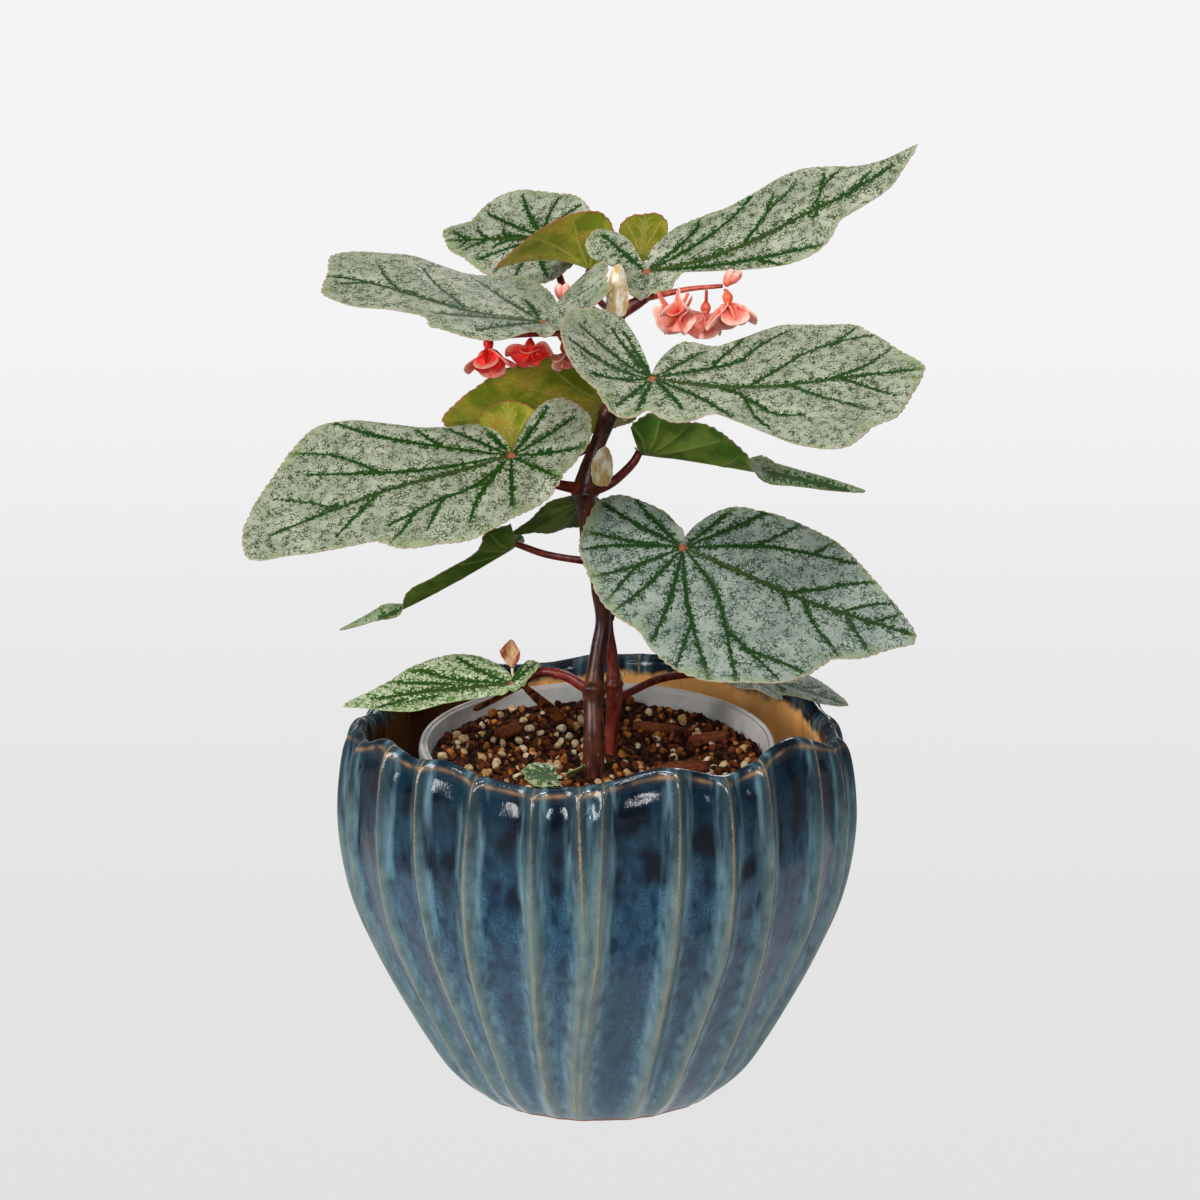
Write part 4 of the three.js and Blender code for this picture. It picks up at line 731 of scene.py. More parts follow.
def petal_skin(name, heart, middle, rim):
    """Begonia petal, thin waxy tissue, deep in its heart and paler towards a watery rim."""
    node, finish = surface(name, Roughness=0.38, Subsurface_Weight=0.3,
                           Subsurface_Scale=1.5 * MM)
    place = node("TexCoord")
    reach = node("Attribute", attribute_name="reach")
    even = node("Mapping", {"Vector": place, "Scale": per_mm(1.6, 2.4)})
    fine = node("TexNoise", {"Vector": even, "Scale": 1.0, "Detail": 2.0})
    depth = node("Math", [fine, 0.7, reach], operation="MULTIPLY_ADD")
    inner = node("MapRange", [depth, 0.4, 0.95, 0, 1], interpolation_type="SMOOTHSTEP")
    colour = node("Mix", [inner, heart, middle])
    outer = node("MapRange", [depth, 1.0, 1.4, 0, 1], interpolation_type="SMOOTHSTEP")
    colour = node("Mix", [outer, colour, rim])
    return finish(colour, fine, 0.15, 0.5)


def dry_skin(name, low, high, fibre):
    """Dead leaf or sheath, papery and matt, with darker fibres half a millimetre apart."""
    node, finish = surface(name, Roughness=0.75, Specular_IOR_Level=0.3)
    place = node("TexCoord")
    wide = node("Mapping", {"Vector": place, "Scale": per_mm(3, 4.5)})
    patches = node("TexNoise", {"Vector": wide, "Scale": 1.0})
    share = node("MapRange", [patches, 0.4, 0.6, 0, 1])
    colour = node("Mix", [share, low, high])
    slim = node("Mapping", {"Vector": place, "Scale": per_mm(0.5, 5)})
    fibres = node("TexNoise", {"Vector": slim, "Scale": 1.0})
    dark = node("MapRange", [fibres, 0.5, 0.68, 0, 0.6])
    colour = node("Mix", [dark, colour, fibre])
    return finish(colour, fibres, 0.25, 0.8)


# ------------------------------------------------------------------ pots and potting mix
def pot_glaze():
    """Stoneware with a reactive glaze, dipped and fired glossy. The glaze runs off the ridges,
    sage there with a tan line on the crest, pools navy in the flutes with a pale blue fringe,
    and is amber inside; the foot is wiped bare."""
    node, finish = surface("reactive_glaze_stoneware", Specular_IOR_Level=0.4)
    place = node("TexCoord")
    ridge, level, inside, lip, sole = (
        node("Attribute", attribute_name=label)
        for label in ("ridge", "level", "inside", "lip", "sole"))

    # width, height and detail of the runs, clouds, pits, slimmer streaks and drops, in mm
    patterns = []
    for wide, tall, detail in ((6, 40, 3), (4, 7, 4), (0.6, 0.8, 2), (3, 22, 2), (7, 13, 1)):
        laid = node("Mapping", {"Vector": place, "Scale": per_mm(wide, tall)})
        patterns.append(node("TexNoise", {"Vector": laid, "Scale": 1.0, "Detail": detail}))
    runs, clouds, pits, streaks, drops = patterns
    shift = node("Math", [runs, 3.0, -1.5], operation="MULTIPLY_ADD")
    wander = node("Math", [ridge, shift], operation="ADD")

    # cloudy blue, paler towards the foot and deeper off the ridges, with dark speckles
    speckle = node("Math", [pits, clouds], operation="ADD")
    blue = "#112e41"
    for cause, start, end, least, most, paint in (
            (clouds, 0.38, 0.64, 0, 1, "#446f85"), (level, 15, 80, 0.4, 0, "#507082"),
            (wander, 4.5, 9.0, 0, 0.5, "#1a3650"), (speckle, 1.02, 1.2, 0, 0.6, "#0f2238")):
        share = node("MapRange", [cause, start, end, least, most])
        blue = node("Mix", [share, blue, paint])

    # darker in the top quarter, with near-black blots of 7 mm in the flutes from 80 mm up
    high = node("Math", [runs, 40.0, level], operation="MULTIPLY_ADD")
    top = node("MapRange", [high, 104, 138, 0, 0.9], interpolation_type="SMOOTHSTEP")
    blue = node("Mix", [top, blue, "#092230"])
    drip = node("MapRange", [drops, 0.45, 0.65, 0, 0.9])
    band = node("MapRange", [level, 80, 95, 0, 1])
    blot = node("Math", [drip, band], operation="MULTIPLY")
    flute = node("MapRange", [ridge, 2.5, 5.0, 0, 1])
    blot = node("Math", [blot, flute], operation="MULTIPLY")
    blue = node("Mix", [blot, blue, "#040a16"])

    near = node("MapRange", [wander, 1.8, 3.0, 0, 1])
    far = node("MapRange", [wander, 3.8, 6.0, 1, 0])
    fringe = node("Math", [near, far], operation="MULTIPLY")
    share = node("MapRange", [streaks, 0.4, 0.66, 0, 0.5])
    fringe = node("Math", [fringe, share], operation="MULTIPLY")
    blue = node("Mix", [fringe, blue, "#7ba0ad"])
    sage = node("Mix", [clouds, "#3f5c62", "#8d9c8e"])
    share = node("MapRange", [wander, 0.9, 4.0, 0.72, 0])
    fade = node("MapRange", [high, 108, 134, 1, 0.2])
    share = node("Math", [share, fade], operation="MULTIPLY")
    blue = node("Mix", [share, blue, sage])
    crest = node("Math", [pits, 1.1, ridge], operation="MULTIPLY_ADD")
    share = node("MapRange", [crest, 0.6, 1.1, 0.7, 0])
    patchy = node("MapRange", [runs, 0.4, 0.62, 0.1, 1])
    share = node("Math", [share, patchy], operation="MULTIPLY")
    blue = node("Mix", [share, blue, "#ab8a62"])

    # inside, blue runs 4 to 8 mm down over the amber; the amber is painted darker lower down and
    # on its left side, as shade
    turn = node("Math", [clouds, 8.0, 1.0], operation="MULTIPLY_ADD")
    depth = node("Math", [inside, turn], operation="SUBTRACT")
    share = node("MapRange", [depth, 0, 2.5, 0, 1])
    amber = node("Mix", [clouds, "#f09a3c", "#ffd08c"])
    # painted shade: the amber darkens from 30 to 80 mm below the rim, down in the gap between the
    # pots
    deep = node("MapRange", [depth, 30, 80, 0, 0.85])
    amber = node("Mix", [deep, amber, "#3a1a0c"])
    # painted shade: the left side of the inside, in the rim's shadow from the light on the left,
    # is painted dark brown
    across = node("SeparateXYZ", {"Vector": place}, "X")
    thick = node("MapRange", [across, -60 * MM, -10 * MM, 0.95, 0])
    amber = node("Mix", [thick, amber, "#2c0f0a"])
    colour = node("Mix", [share, blue, amber])
    share = node("Math", [lip, patchy], operation="MULTIPLY")
    share = node("Math", [share, 0.7], operation="MULTIPLY")
    colour = node("Mix", [share, colour, "#a98259"])
    colour = node("Mix", [sole, colour, "#8a5738"])

    rough = node("MapRange", [sole, 0, 1, 0.12, 0.8])
    uneven = node("Math", [clouds, 4.0, pits], operation="MULTIPLY_ADD")
    return finish(colour, uneven, 0.1, 0.5, Roughness=rough)


def milky_plastic():
    """Polypropylene, blown thin and left natural: milky, satin, with the dark mix behind it."""
    node, finish = surface("milky_polypropylene", Roughness=0.34,
                           Subsurface_Weight=0.35, Subsurface_Scale=2 * MM)
    place = node("TexCoord")
    wall = node("Attribute", attribute_name="wall")
    even = node("Mapping", {"Vector": place, "Scale": per_mm(6, 6)})
    film = node("TexNoise", {"Vector": even, "Scale": 1.0, "Detail": 4.0})
    colour = node("Mix", [film, "#a8a6a3", "#d2d1ce"])
    colour = node("Mix", [wall, colour, "#857b75"])
    return finish(colour, film, 0.2, 0.3)


def crumb_skin(name, dark, low, high, rough, grain, depth):
    """Mineral or bark crumbs, each with a tint of its own and a grain of so many mm."""
    node, finish = surface(name, Roughness=rough, Specular_IOR_Level=0.15)
    place = node("TexCoord")
    tint = node("Attribute", attribute_name="tint")
    even = node("Mapping", {"Vector": place, "Scale": per_mm(grain, grain)})
    fine = node("TexNoise", {"Vector": even, "Scale": 1.0, "Detail": 4.0, "Roughness": 0.65})
    colour = node("Mix", [tint, low, high])
    share = node("MapRange", [fine, 0.32, 0.58, 0.75, 0])
    colour = node("Mix", [share, colour, dark])
    return finish(colour, fine, depth, 1.0)


# ------------------------------------------------------------------ blades
def blade_frame(aim):
    """Directions of a blade: along its midrib, to its left and out of its upper side."""
    h, p, q = np.radians(aim)
    along = np.array([math.cos(p) * math.cos(h), math.cos(p) * math.sin(h), math.sin(p)])
    level = np.array([-math.sin(h), math.cos(h), 0])
    over = np.cross(along, level)
    side = level * math.cos(q) + over * math.sin(q)
    up = over * math.cos(q) - level * math.sin(q)
    return along, side, up


def blade_height(blade, u, v):
    """Height over the blade's plane, u along the midrib and v to the left."""
    length = blade["length"]
    round_ = 0.05 * length
    wide = 0.45 * length
    slope, start = blade.get("twist", (0, 1))
    share = np.clip((u / length - start) / TWIST_RUN, 0, 1)
    turned = share * share * (3 - 2 * share)
    fold = math.tan(math.radians(blade.get("fold", 0)))
    return (-blade.get("sag", 0) * np.maximum(u / length, 0) ** 2
            + blade.get("lobe", 0) * np.maximum(-u / (0.4 * length), 0) ** 2
            + (1 - turned) * fold * (np.hypot(v, round_) - round_) + turned * slope * v
            + blade.get("left", 0) * np.maximum(v / wide, 0) ** 2
            + blade.get("right", 0) * np.maximum(-v / wide, 0) ** 2)


def vein_distances(veins, u, v):
    """Distance to the nearest vein in mm, the same in half widths of it, and the midrib's."""
    near = np.full(u.shape, 99.0)
    share = np.full(u.shape, 99.0)
    rib = np.full(u.shape, 99.0)
    for number, vein in enumerate(veins):
        turn, reach = np.radians([p[0] for p in vein]), np.array([p[1] for p in vein], float)
        main = reach[0] < MAIN_VEIN_START
        first = 1.0 if number == 0 else 0.85 if main else 0.65
        reach[0] = 1.5 if main else reach[0]
        flat = np.stack([reach * np.cos(turn), reach * np.sin(turn), 0 * reach], axis=1)
        line = smooth_line(flat, 4 * (len(vein) - 1))[:, :2]
        rise = np.clip(np.linspace(0.4, 3, len(line)) + reach[0] / MAIN_VEIN_START, 0, 1)
        half = first * np.linspace(1.1, 0.5, len(line)) * rise
        for a, b, w in zip(line[:-1], line[1:], half):
            way = b - a
            t = ((u - a[0]) * way[0] + (v - a[1]) * way[1]) / max(way @ way, 1e-9)
            t = np.clip(t, 0, 1)
            d = np.hypot(u - a[0] - t * way[0], v - a[1] - t * way[1])
            near = np.minimum(near, d)
            share = np.minimum(share, d / w)
            if number == 0:
                rib = np.minimum(rib, d)
    return near, share, rib


def veins_by_rule(outline):
    """A midrib with side veins, and main veins spread like fingers from the stalk."""
    radius = closed_curve(outline)
    veins = [[[0, 0], [0, 0.5 * float(radius(0))], [0, 0.96 * float(radius(0))]]]
    for angle in (25, 50, 80, 115, 150, 210, 245, 280, 310, 335):
        end = 0.88 * float(radius(angle))
        if end > 4:
            inner = angle * 0.8 if angle < 180 else 360 - (360 - angle) * 0.8
            veins.append([[inner, 1.5], [(inner + angle) / 2, 0.5 * end], [angle, end]])
    for share in (0.35, 0.55, 0.75):
        start = share * float(radius(0))
        for turn in (1, -1):
            aside = turn * 14 * (1.3 - share)
            end = min(1.35 * start, 0.9 * float(radius(aside)))
            if end > start:
                veins.append([[0, start], [aside * 0.5, 0.5 * (start + end)], [aside, end]])
    return veins


def blade_shape(blade, frame_, thickness, rays, rings, seed, tooth=0.0, wave=0.0, waves=7,
                veins=(), quilt=0.0):
    """A thin blade with teeth, waves and veins: points, faces and values."""
    along, side, up = frame_
    outline = closed_curve(blade["outline"])
    fine = np.linspace(0, 360, 1441)
    edge = outline(fine)
    x, y = edge * np.cos(np.radians(fine)), edge * np.sin(np.radians(fine))
    run = np.concatenate([[0], np.cumsum(np.hypot(np.diff(x), np.diff(y)))])
    target = np.linspace(0, run[-1], rays, endpoint=False)
    angle = np.interp(target, run, fine)
    radius = outline(angle)
    inset = np.zeros(rays)
    if tooth:
        random = np.random.default_rng(seed)
        starts = np.cumsum(random.uniform(*TOOTH_LENGTHS, int(run[-1] / TOOTH_LENGTHS[0]) + 2))
        starts = starts[starts < run[-1] - 1.5]
        starts = np.concatenate([[0], starts, [run[-1]]])
        phase = np.interp(target, starts, np.arange(len(starts)))
        deep = random.uniform(0.3, 1.0, len(starts))[phase.astype(int)]
        part = phase % 1
        inset = tooth * deep * np.where(part < TOOTH_LEAN, part / TOOTH_LEAN,
                                        (1 - part) / (1 - TOOTH_LEAN))
        inset = np.minimum(inset, 0.1 * radius)
    reach = (np.arange(rings) + 1) / rings
    reach = reach[:, None]
    r = reach * (radius - inset * reach ** 8)
    turn = np.radians(angle)
    u = (r * np.cos(turn)).ravel()
    v = (r * np.sin(turn)).ravel()
    out = np.repeat(reach, rays, axis=1).ravel()

    def height(u, v, out):
        ripple = wave * np.sin(waves * np.arctan2(v, u)) * out ** 3
        return blade_height(blade, u, v) + ripple

    u, v, out = (np.concatenate([[0.0], row]) for row in (u, v, out))
    middle = height(u, v, out)
    slope_u = (height(u + 0.05, v, out) - middle) / 0.05
    slope_v = (height(u, v + 0.05, out) - middle) / 0.05
    slope_u[0] = slope_v[0] = 0
    square = np.sqrt(slope_u ** 2 + slope_v ** 2 + 1)
    near, share, rib = vein_distances(veins, u, v)
    half = thickness / 2 * (1 - 0.5 * out ** 6)
    rounded = quilt * (1 - np.exp(-(near / PUCKER) ** 2)) * (1 - out ** 6)
    cord = 0.35 * quilt * np.exp(-(near / CORD_WIDTH) ** 2) * (1 - out ** 4)
    sheets = []
    for sign, lift in ((1, half + rounded - quilt), (-1, -half + rounded - quilt - cord)):
        lift = lift / square
        sheets.append(np.array(blade["at"])
                      + np.outer(u - lift * slope_u, along)
                      + np.outer(v - lift * slope_v, side)
                      + np.outer(middle + lift, up))
    points = np.vstack(sheets)
    count = 1 + rings * rays
    ring = np.arange(1, rays + 1)
    faces = fan(0, ring)
    faces += [[a, d, c, b] for a, b, c, d in grid_faces(rings, rays, 1)]
    edge_gap = np.concatenate([[9.0], ((1 - reach) * radius * 0.8).ravel()])
    fade = np.clip(1.15 - np.hypot(u, v) / (0.75 * blade["length"]), 0, 1)
    stalk_end = np.exp(-(np.hypot(u, v) / (0.45 + 0.014 * blade["length"])) ** 2)
    core = np.exp(-(rib / RIB_WIDTH) ** 2) * fade
    values = {
        "vein": np.tile(share, 2), "edge": np.tile(edge_gap, 2),
        "rib": np.tile(core, 2), "scar": np.tile(stalk_end, 2), "reach": np.tile(out, 2),
        "upper": np.repeat([1.0, 0.0], count),
        "blade": np.tile(np.stack([u, v, np.full(count, 37.0 * seed)], axis=1), (2, 1)),
    }
    return points, thin_body(faces, count, ring + (rings - 1) * rays), values


def leaf_shape(name):
    """A leaf of the plant, with more steps on the larger ones."""
    leaf = LEAVES[name]
    veins = VEINS.get(name) or veins_by_rule(leaf["outline"])
    seed = 1 + list(LEAVES).index(name)
    directions = blade_frame(leaf["aim"])
    thick, rays, rings, tooth, wave, waves, quilt = next(
        rest for least, *rest in LEAF_KINDS if leaf["length"] > least)
    return blade_shape(leaf, directions, thick, rays, rings, seed, tooth, wave, waves, veins,
                       quilt)


# ------------------------------------------------------------------ pots
def on_pot(radius, angle, z):
    """A point of a pot; angle 0 is at the front, and 90 at the right."""
    turn = np.radians(angle)
    return np.stack(np.broadcast_arrays(radius * np.sin(turn), -radius * np.cos(turn), z),
                    axis=-1)


def ridge_angles(z):
    """Angle of each ridge at a height: from foot to belly to rim."""
    foot, belly, rim = np.array(RIDGES, float).T
    if z < BELLY:
        return foot + (belly - foot) * z / BELLY
    return belly + (rim - belly) * (z - BELLY) / (RIM_HEIGHT - BELLY)


def cachepot_shape():
    """Ridges as soft round crests with broad concave flutes, which end in pockets at the lip."""
    columns = 22  # points across a flute
    profile = [[36, 0, 0, 0], [40.4, 0, 0, 0.3]]
    profile += [[radius, z, 0, flute] for z, radius, flute in CACHEPOT]
    fine = smooth_line(profile, 10 * (len(profile) - 1))
    lip_row = int(np.argmax(fine[:, 1]))
    rim_height = closed_curve(RIM)
    along = 0.5 - 0.5 * np.cos(math.pi * np.arange(columns) / columns)
    rings, ridge, level, inside = [], [], [], []
    for row, (radius, z, _, deep) in enumerate(fine):
        start = ridge_angles(z)
        width = (np.roll(start, -1) - start) % 360
        angle = (start[:, None] + width[:, None] * along).ravel()
        span = np.repeat(width, columns)
        part = np.tile(along, len(RIDGES))
        arc = math.radians(1) * max(radius, 41) * span
        near = np.minimum(part, 1 - part) * arc
        bowed = np.sin(math.pi * part)
        hollow = 0.92 * (1 - np.exp(-(near / CREST_WIDTH) ** 2)) + 0.16 * bowed
        hollow = hollow * np.minimum(span / FULL_FLUTE, 1)
        outer = row <= lip_row
        pocket = POCKET_DEPTH * outer * bowed ** 2
        pocket = pocket * math.exp(-((z - POCKET_HEIGHT) / POCKET_SPREAD) ** 2)
        raised = (rim_height(angle) - RIM_HEIGHT) * (z / RIM_HEIGHT) ** 2
        rings.append(on_pot(radius - deep * hollow - pocket, angle, z + raised))
        ridge.append(near)
        level.append(np.full(len(angle), z))
        inside.append(np.full(len(angle), 0 if outer else max(RIM_HEIGHT - z, 0.0)))
    points, faces = closed_body(rings, [0, 0, 1.2], [0, 0, 8])
    level, inside = np.concatenate(level), np.concatenate(inside)
    lip = np.exp(-((level - RIM_HEIGHT + 2.4) / 0.7) ** 2) * (inside == 0)
    sole = np.clip((1.5 - level) / 0.5, 0, 1) * (inside == 0)
    values = {"ridge": [np.concatenate(ridge), [9, 9]], "level": [level, [0, 8]],
              "inside": [inside, [0, 120]], "lip": [lip, [0, 0]], "sole": [sole, [1, 0]]}
    return points, faces, {name: np.concatenate(rows) for name, rows in values.items()}


def leant(points):
    """The nursery pot leans by lifting what is high up and towards the back."""
    up = np.maximum((points[:, 2] - NURSERY_FLOOR) / NURSERY_HEIGHT, 0)
    points[:, 2] += NURSERY_LEAN * points[:, 1] * up
    return points


def nursery_shape():
    """A thin wall with a double rim, and a floor."""
    columns = 160
    profile = [[radius, z + NURSERY_FLOOR, 0] for z, radius in NURSERY]
    fine = smooth_line(profile, 8 * (len(profile) - 1))
    angle = np.arange(columns) * 360 / columns
    rings = [on_pot(radius, angle, z) for radius, z, _ in fine]
    points, faces = closed_body(rings, [0, 0, NURSERY_FLOOR],
                                [0, 0, NURSERY_FLOOR + NURSERY_WALL])
    points = leant(points)
    radius = np.hypot(points[:, 0], points[:, 1])
    height = points[:, 2] - NURSERY_LEAN * points[:, 1] - NURSERY_FLOOR
    wall = np.clip((NURSERY_WALL_TOP - height) / 2, 0, 1) * (radius > 30)
    return points, faces, {"wall": wall}


def drill_holes(pot):
    """Cuts the round drain holes through the floor of the nursery pot."""
    drills = []
    for angle in np.arange(DRAIN_HOLES) * 360 / DRAIN_HOLES:
        x, y, _ = on_pot(DRAIN_CIRCLE, angle, 0)
        ends = [NURSERY_FLOOR + 3 * side * NURSERY_WALL for side in (-1, 2)]
        drills.append(tube([[x, y, z, DRAIN_RADIUS] for z in ends], 32, 2))
    points, faces, _ = joined(drills)
    mesh = bpy.data.meshes.new("drills")
    mesh.from_pydata((points * MM).tolist(), [], faces)
    cutter = bpy.data.objects.new("drills", mesh)
    bpy.context.scene.collection.objects.link(cutter)
    cut = pot.modifiers.new("drain_holes", "BOOLEAN")
    cut.object = cutter
    solid = pot.evaluated_get(bpy.context.evaluated_depsgraph_get())
    pot.data = bpy.data.meshes.new_from_object(solid)
    pot.modifiers.clear()
    bpy.data.objects.remove(cutter)


# ------------------------------------------------------------------ potting mix
def soil_height(x, y):
    """Height of the mix: a shallow bowl with low waves, which leans with the nursery pot."""
    bowl = SOIL_BOWL * (np.hypot(x, y) / SOIL_RADIUS) ** 2
    return (SOIL_HEIGHT + bowl + SOIL_WAVE * np.sin(x / 8 + 1) * np.cos(y / 9)
            + NURSERY_LEAN * y - SOIL_FALL * x)


def mix_shape(random):
    """The mix fills the nursery pot, with small clods on its top."""
    columns, rings = 300, 110
    angle = np.arange(columns) * 360 / columns
    foot = NURSERY_FLOOR + NURSERY_WALL + GAP
    levels = [leant(on_pot(radius, angle, z)) for radius, z in ((SOIL_FOOT, foot), SOIL_WAIST)]
    reach = SOIL_RADIUS * np.linspace(1, 0.01, rings)
    turn = np.radians(angle)
    x = (reach[:, None] * np.sin(turn)).ravel()
    y = (-reach[:, None] * np.cos(turn)).ravel()
    waves = random.uniform(0.25, 1.9, (26, 2)) * random.choice([-1, 1], (26, 2))
    phase = random.uniform(0, 6.3, 26)
    rough = sum(np.sin(a * x + b * y + p) / (0.6 + math.hypot(a, b))
                for (a, b), p in zip(waves, phase))
    z = soil_height(x, y) - CLOD_SINK + CLOD_RISE * rough
    top = np.stack([x, y, z], axis=1).reshape(rings, columns, 3)
    points, faces = closed_body([*levels, *top], [0, 0, foot],
                                [0, 0, float(soil_height(0, 0))])
    tint = np.clip(0.1 + 0.1 * np.concatenate([np.zeros(2 * columns), rough, [0, 0]]), 0, 1)
    return points, faces, {"tint": tint}


def ball(level):
    """Points and faces of a unit ball."""
    mesh = bmesh.new()
    bmesh.ops.create_icosphere(mesh, subdivisions=level, radius=1)
    points = np.array([v.co for v in mesh.verts])
    faces = [[v.index for v in f.verts] for f in mesh.faces]
    mesh.free()
    return points, faces


def turned_at_random(random):
    """A random rotation, as three rows."""
    q = unit(random.normal(size=4))
    w, x, y, z = q
    return np.array([
        [1 - 2 * (y * y + z * z), 2 * (x * y - w * z), 2 * (x * z + w * y)],
        [2 * (x * y + w * z), 1 - 2 * (x * x + z * z), 2 * (y * z - w * x)],
        [2 * (x * z - w * y), 2 * (y * z + w * x), 1 - 2 * (x * x + y * y)]])


def crumbs(random, places, sizes, flatness, level=2):
    """Angular crumbs, each a lumpy ball cut by a few flat faces."""
    base, faces = ball(level)
    shapes = []
    for (x, y), size in zip(places, sizes):
        lumps = random.uniform(-2.5, 2.5, (3, 3))
        bumps = np.sin(base @ lumps.T + random.uniform(0, 6, 3)).sum(axis=1)
        points = base * (1 + 0.1 * bumps)[:, None]
        for normal in unit(random.normal(size=(5, 3))):
            over = np.maximum(points @ normal - random.uniform(0.6, 0.85), 0)
            points = points - np.outer(over, normal)
        stretch = random.uniform(0.75, 1.25, 3) * [1, 1, flatness]
        points = (points * stretch) @ turned_at_random(random).T * size
        z = float(soil_height(x, y)) + random.uniform(-0.1, 0.75) * size
        points = points + [x, y, z]
        tint = np.full(len(points), random.uniform(0, 1))
        shapes.append((points, faces, {"tint": tint}))
    return joined(shapes)


def scattered(random, count, spacing, weight):
    """Places on the mix that keep apart, more where weight(x, y) is higher."""
    places = []
    tries = 0
    while len(places) < count and tries < MOST_TRIES:
        tries += 1
        spread = math.sqrt(random.random()) * (SOIL_RADIUS - 1.5)
        turn = random.random() * 2 * math.pi
        x, y = spread * math.sin(turn), -spread * math.cos(turn)
        if random.random() > weight(x, y):
            continue
        if any(math.hypot(x - cane[1][0], y - cane[1][1]) < CANE_ROOM
               for cane in (MAIN_CANE, SECOND_CANE)):
            continue
        if all((x - a) ** 2 + (y - b) ** 2 > spacing ** 2 for a, b in places[-NEIGHBOURS:]):
            places.append((x, y))
    return places


def bark_flake(x, y, turn, length, width, random):
    """A flake of bark with a fibrous, splintered grain along its length."""
    along, across = 60, 26  # points in each direction
    u = np.linspace(-0.5, 0.5, along)[:, None]
    v = np.linspace(-0.5, 0.5, across)[None, :]
    ends = random.uniform(0.82, 1.0, (2, across))
    grain = random.uniform(-1, 1, across)[None, :]
    stretch = np.where(u < 0, ends[0], ends[1])
    slim = 1 - 0.55 * np.abs(2 * u) ** 3
    px = u * length * stretch
    py = v * width * slim + 0.4 * np.sin(px / 3 + 4)
    arch = 0.12 * length * (0.25 - u ** 2)
    top = arch + FLAKE * (0.5 - 1.2 * v ** 2) + 0.3 * grain + 0.2 * np.sin(px * 1.7 + 9 * grain)
    low = arch - FLAKE * 0.5
    c, s = cos_sin(turn)
    sheets = []
    for z in (top, low):
        px_, py_, z_ = (a.ravel() for a in np.broadcast_arrays(px, py, z))
        sheets.append(np.stack([x + c * px_ - s * py_, y + s * px_ + c * py_,
                                z_ + float(soil_height(x, y)) + 0.8], axis=1))
    points = np.vstack(sheets)
    count = along * across
    faces = [face[::-1] for face in grid_faces(along, across, closed=False)]
    grid = np.arange(count).reshape(along, across)
    border = np.concatenate([grid[0], grid[1:, -1], grid[-1, -2::-1], grid[-2:0:-1, 0]])
    faces = thin_body(faces, count, border[::-1])
    tint = 0.4 + 0.35 * np.broadcast_to(grain, (along, across)).ravel()
    return points, faces, {"tint": np.tile(np.clip(tint, 0, 1), 2)}


# ------------------------------------------------------------------ canes and flowers
def stalk_rows(name, thick, thin, way, points):
    """Stalk from a cane to a blade, ending just short of it, as [x, y, z, radius]."""
    blade = LEAVES[name]
    along, side, up = blade_frame(blade["aim"])
    meet = np.array(blade["at"], float)
    if way == "below":
        meet = meet - up * GAP
        points = points + [list(meet - up * STALK_RUN)]
    else:
        clear = float(closed_curve(blade["outline"])(way))
        c, s = cos_sin(way)
        meet = meet + clear * (along * c + side * s)
    rows = np.vstack([points, meet])
    return np.column_stack([rows, np.linspace(thick, thin, len(rows))])


def swollen(rows, steps, sides, knots):
    """A cane whose joints swell and carry leaf scars at the given heights."""
    line = smooth_line(rows, steps)
    z = line[:, 2]
    for height, amount in knots:
        line[:, 3] += amount * np.exp(-((z - height) / 0.9) ** 2)
        line[:, 3] -= 0.3 * amount * np.exp(-((z - height - 2) / 0.7) ** 2)
    return tube(line, sides, steps)


def stalks_shape(stalks):
    """Leaf stalks, thicker where they leave the cane."""
    shapes = []
    for name, thick, thin, way, points in stalks:
        rows = stalk_rows(name, thick, thin, way, points)
        rows[0, 3] *= 1.3
        shapes.append(tube(rows, 14, 60))
    return joined(shapes)


def twigs_shape(twigs):
    """Thin stalks, each from its thick end to its thin one."""
    return joined([tube(np.column_stack([points, np.linspace(thick, thin, len(points))]), 12, 50)
                   for thick, thin, points in twigs])


def turned_about(vector_, axis, degrees):
    """A direction turned about an axis."""
    c, s = cos_sin(degrees)
    return (vector_ * c + np.cross(axis, vector_) * s + axis * (axis @ vector_) * (1 - c))


def petal_shape(at, hang, petal):
    """A petal leans out from the way the flower hangs and cups back towards it."""
    turn, length, width, open_ = petal
    up = np.array([0, 0, 1.0])
    axis = np.cross(up, hang)
    if np.linalg.norm(axis) > 1e-6:
        angle = math.degrees(math.atan2(np.linalg.norm(axis), up @ hang))
        out = turned_about(np.array([1.0, 0, 0]), axis / np.linalg.norm(axis), angle)
    else:
        out = np.array([1.0, 0, 0])
    out = turned_about(out, hang, turn)
    c, s = cos_sin(open_)
    along = hang * c + out * s
    side = unit(np.cross(hang, out))
    up = np.cross(along, side)
    half = width / 2
    blade = {
        "at": np.array(at) + PETAL_ROOT * along, "length": length, "sag": 0.2 * length,
        "left": -0.14 * width, "right": -0.14 * width,
        "outline": [[0, length], [16, length], [31, 0.95 * length], [56, half * 1.5],
                    [90, half * 0.85], [140, 1], [180, 0.8], [220, 1], [270, half * 0.85],
                    [304, half * 1.5], [329, 0.95 * length], [344, length]]}
    return blade_shape(blade, (along, side, up), 0.45, 72, 22, 0, 0, 0.35, 4)


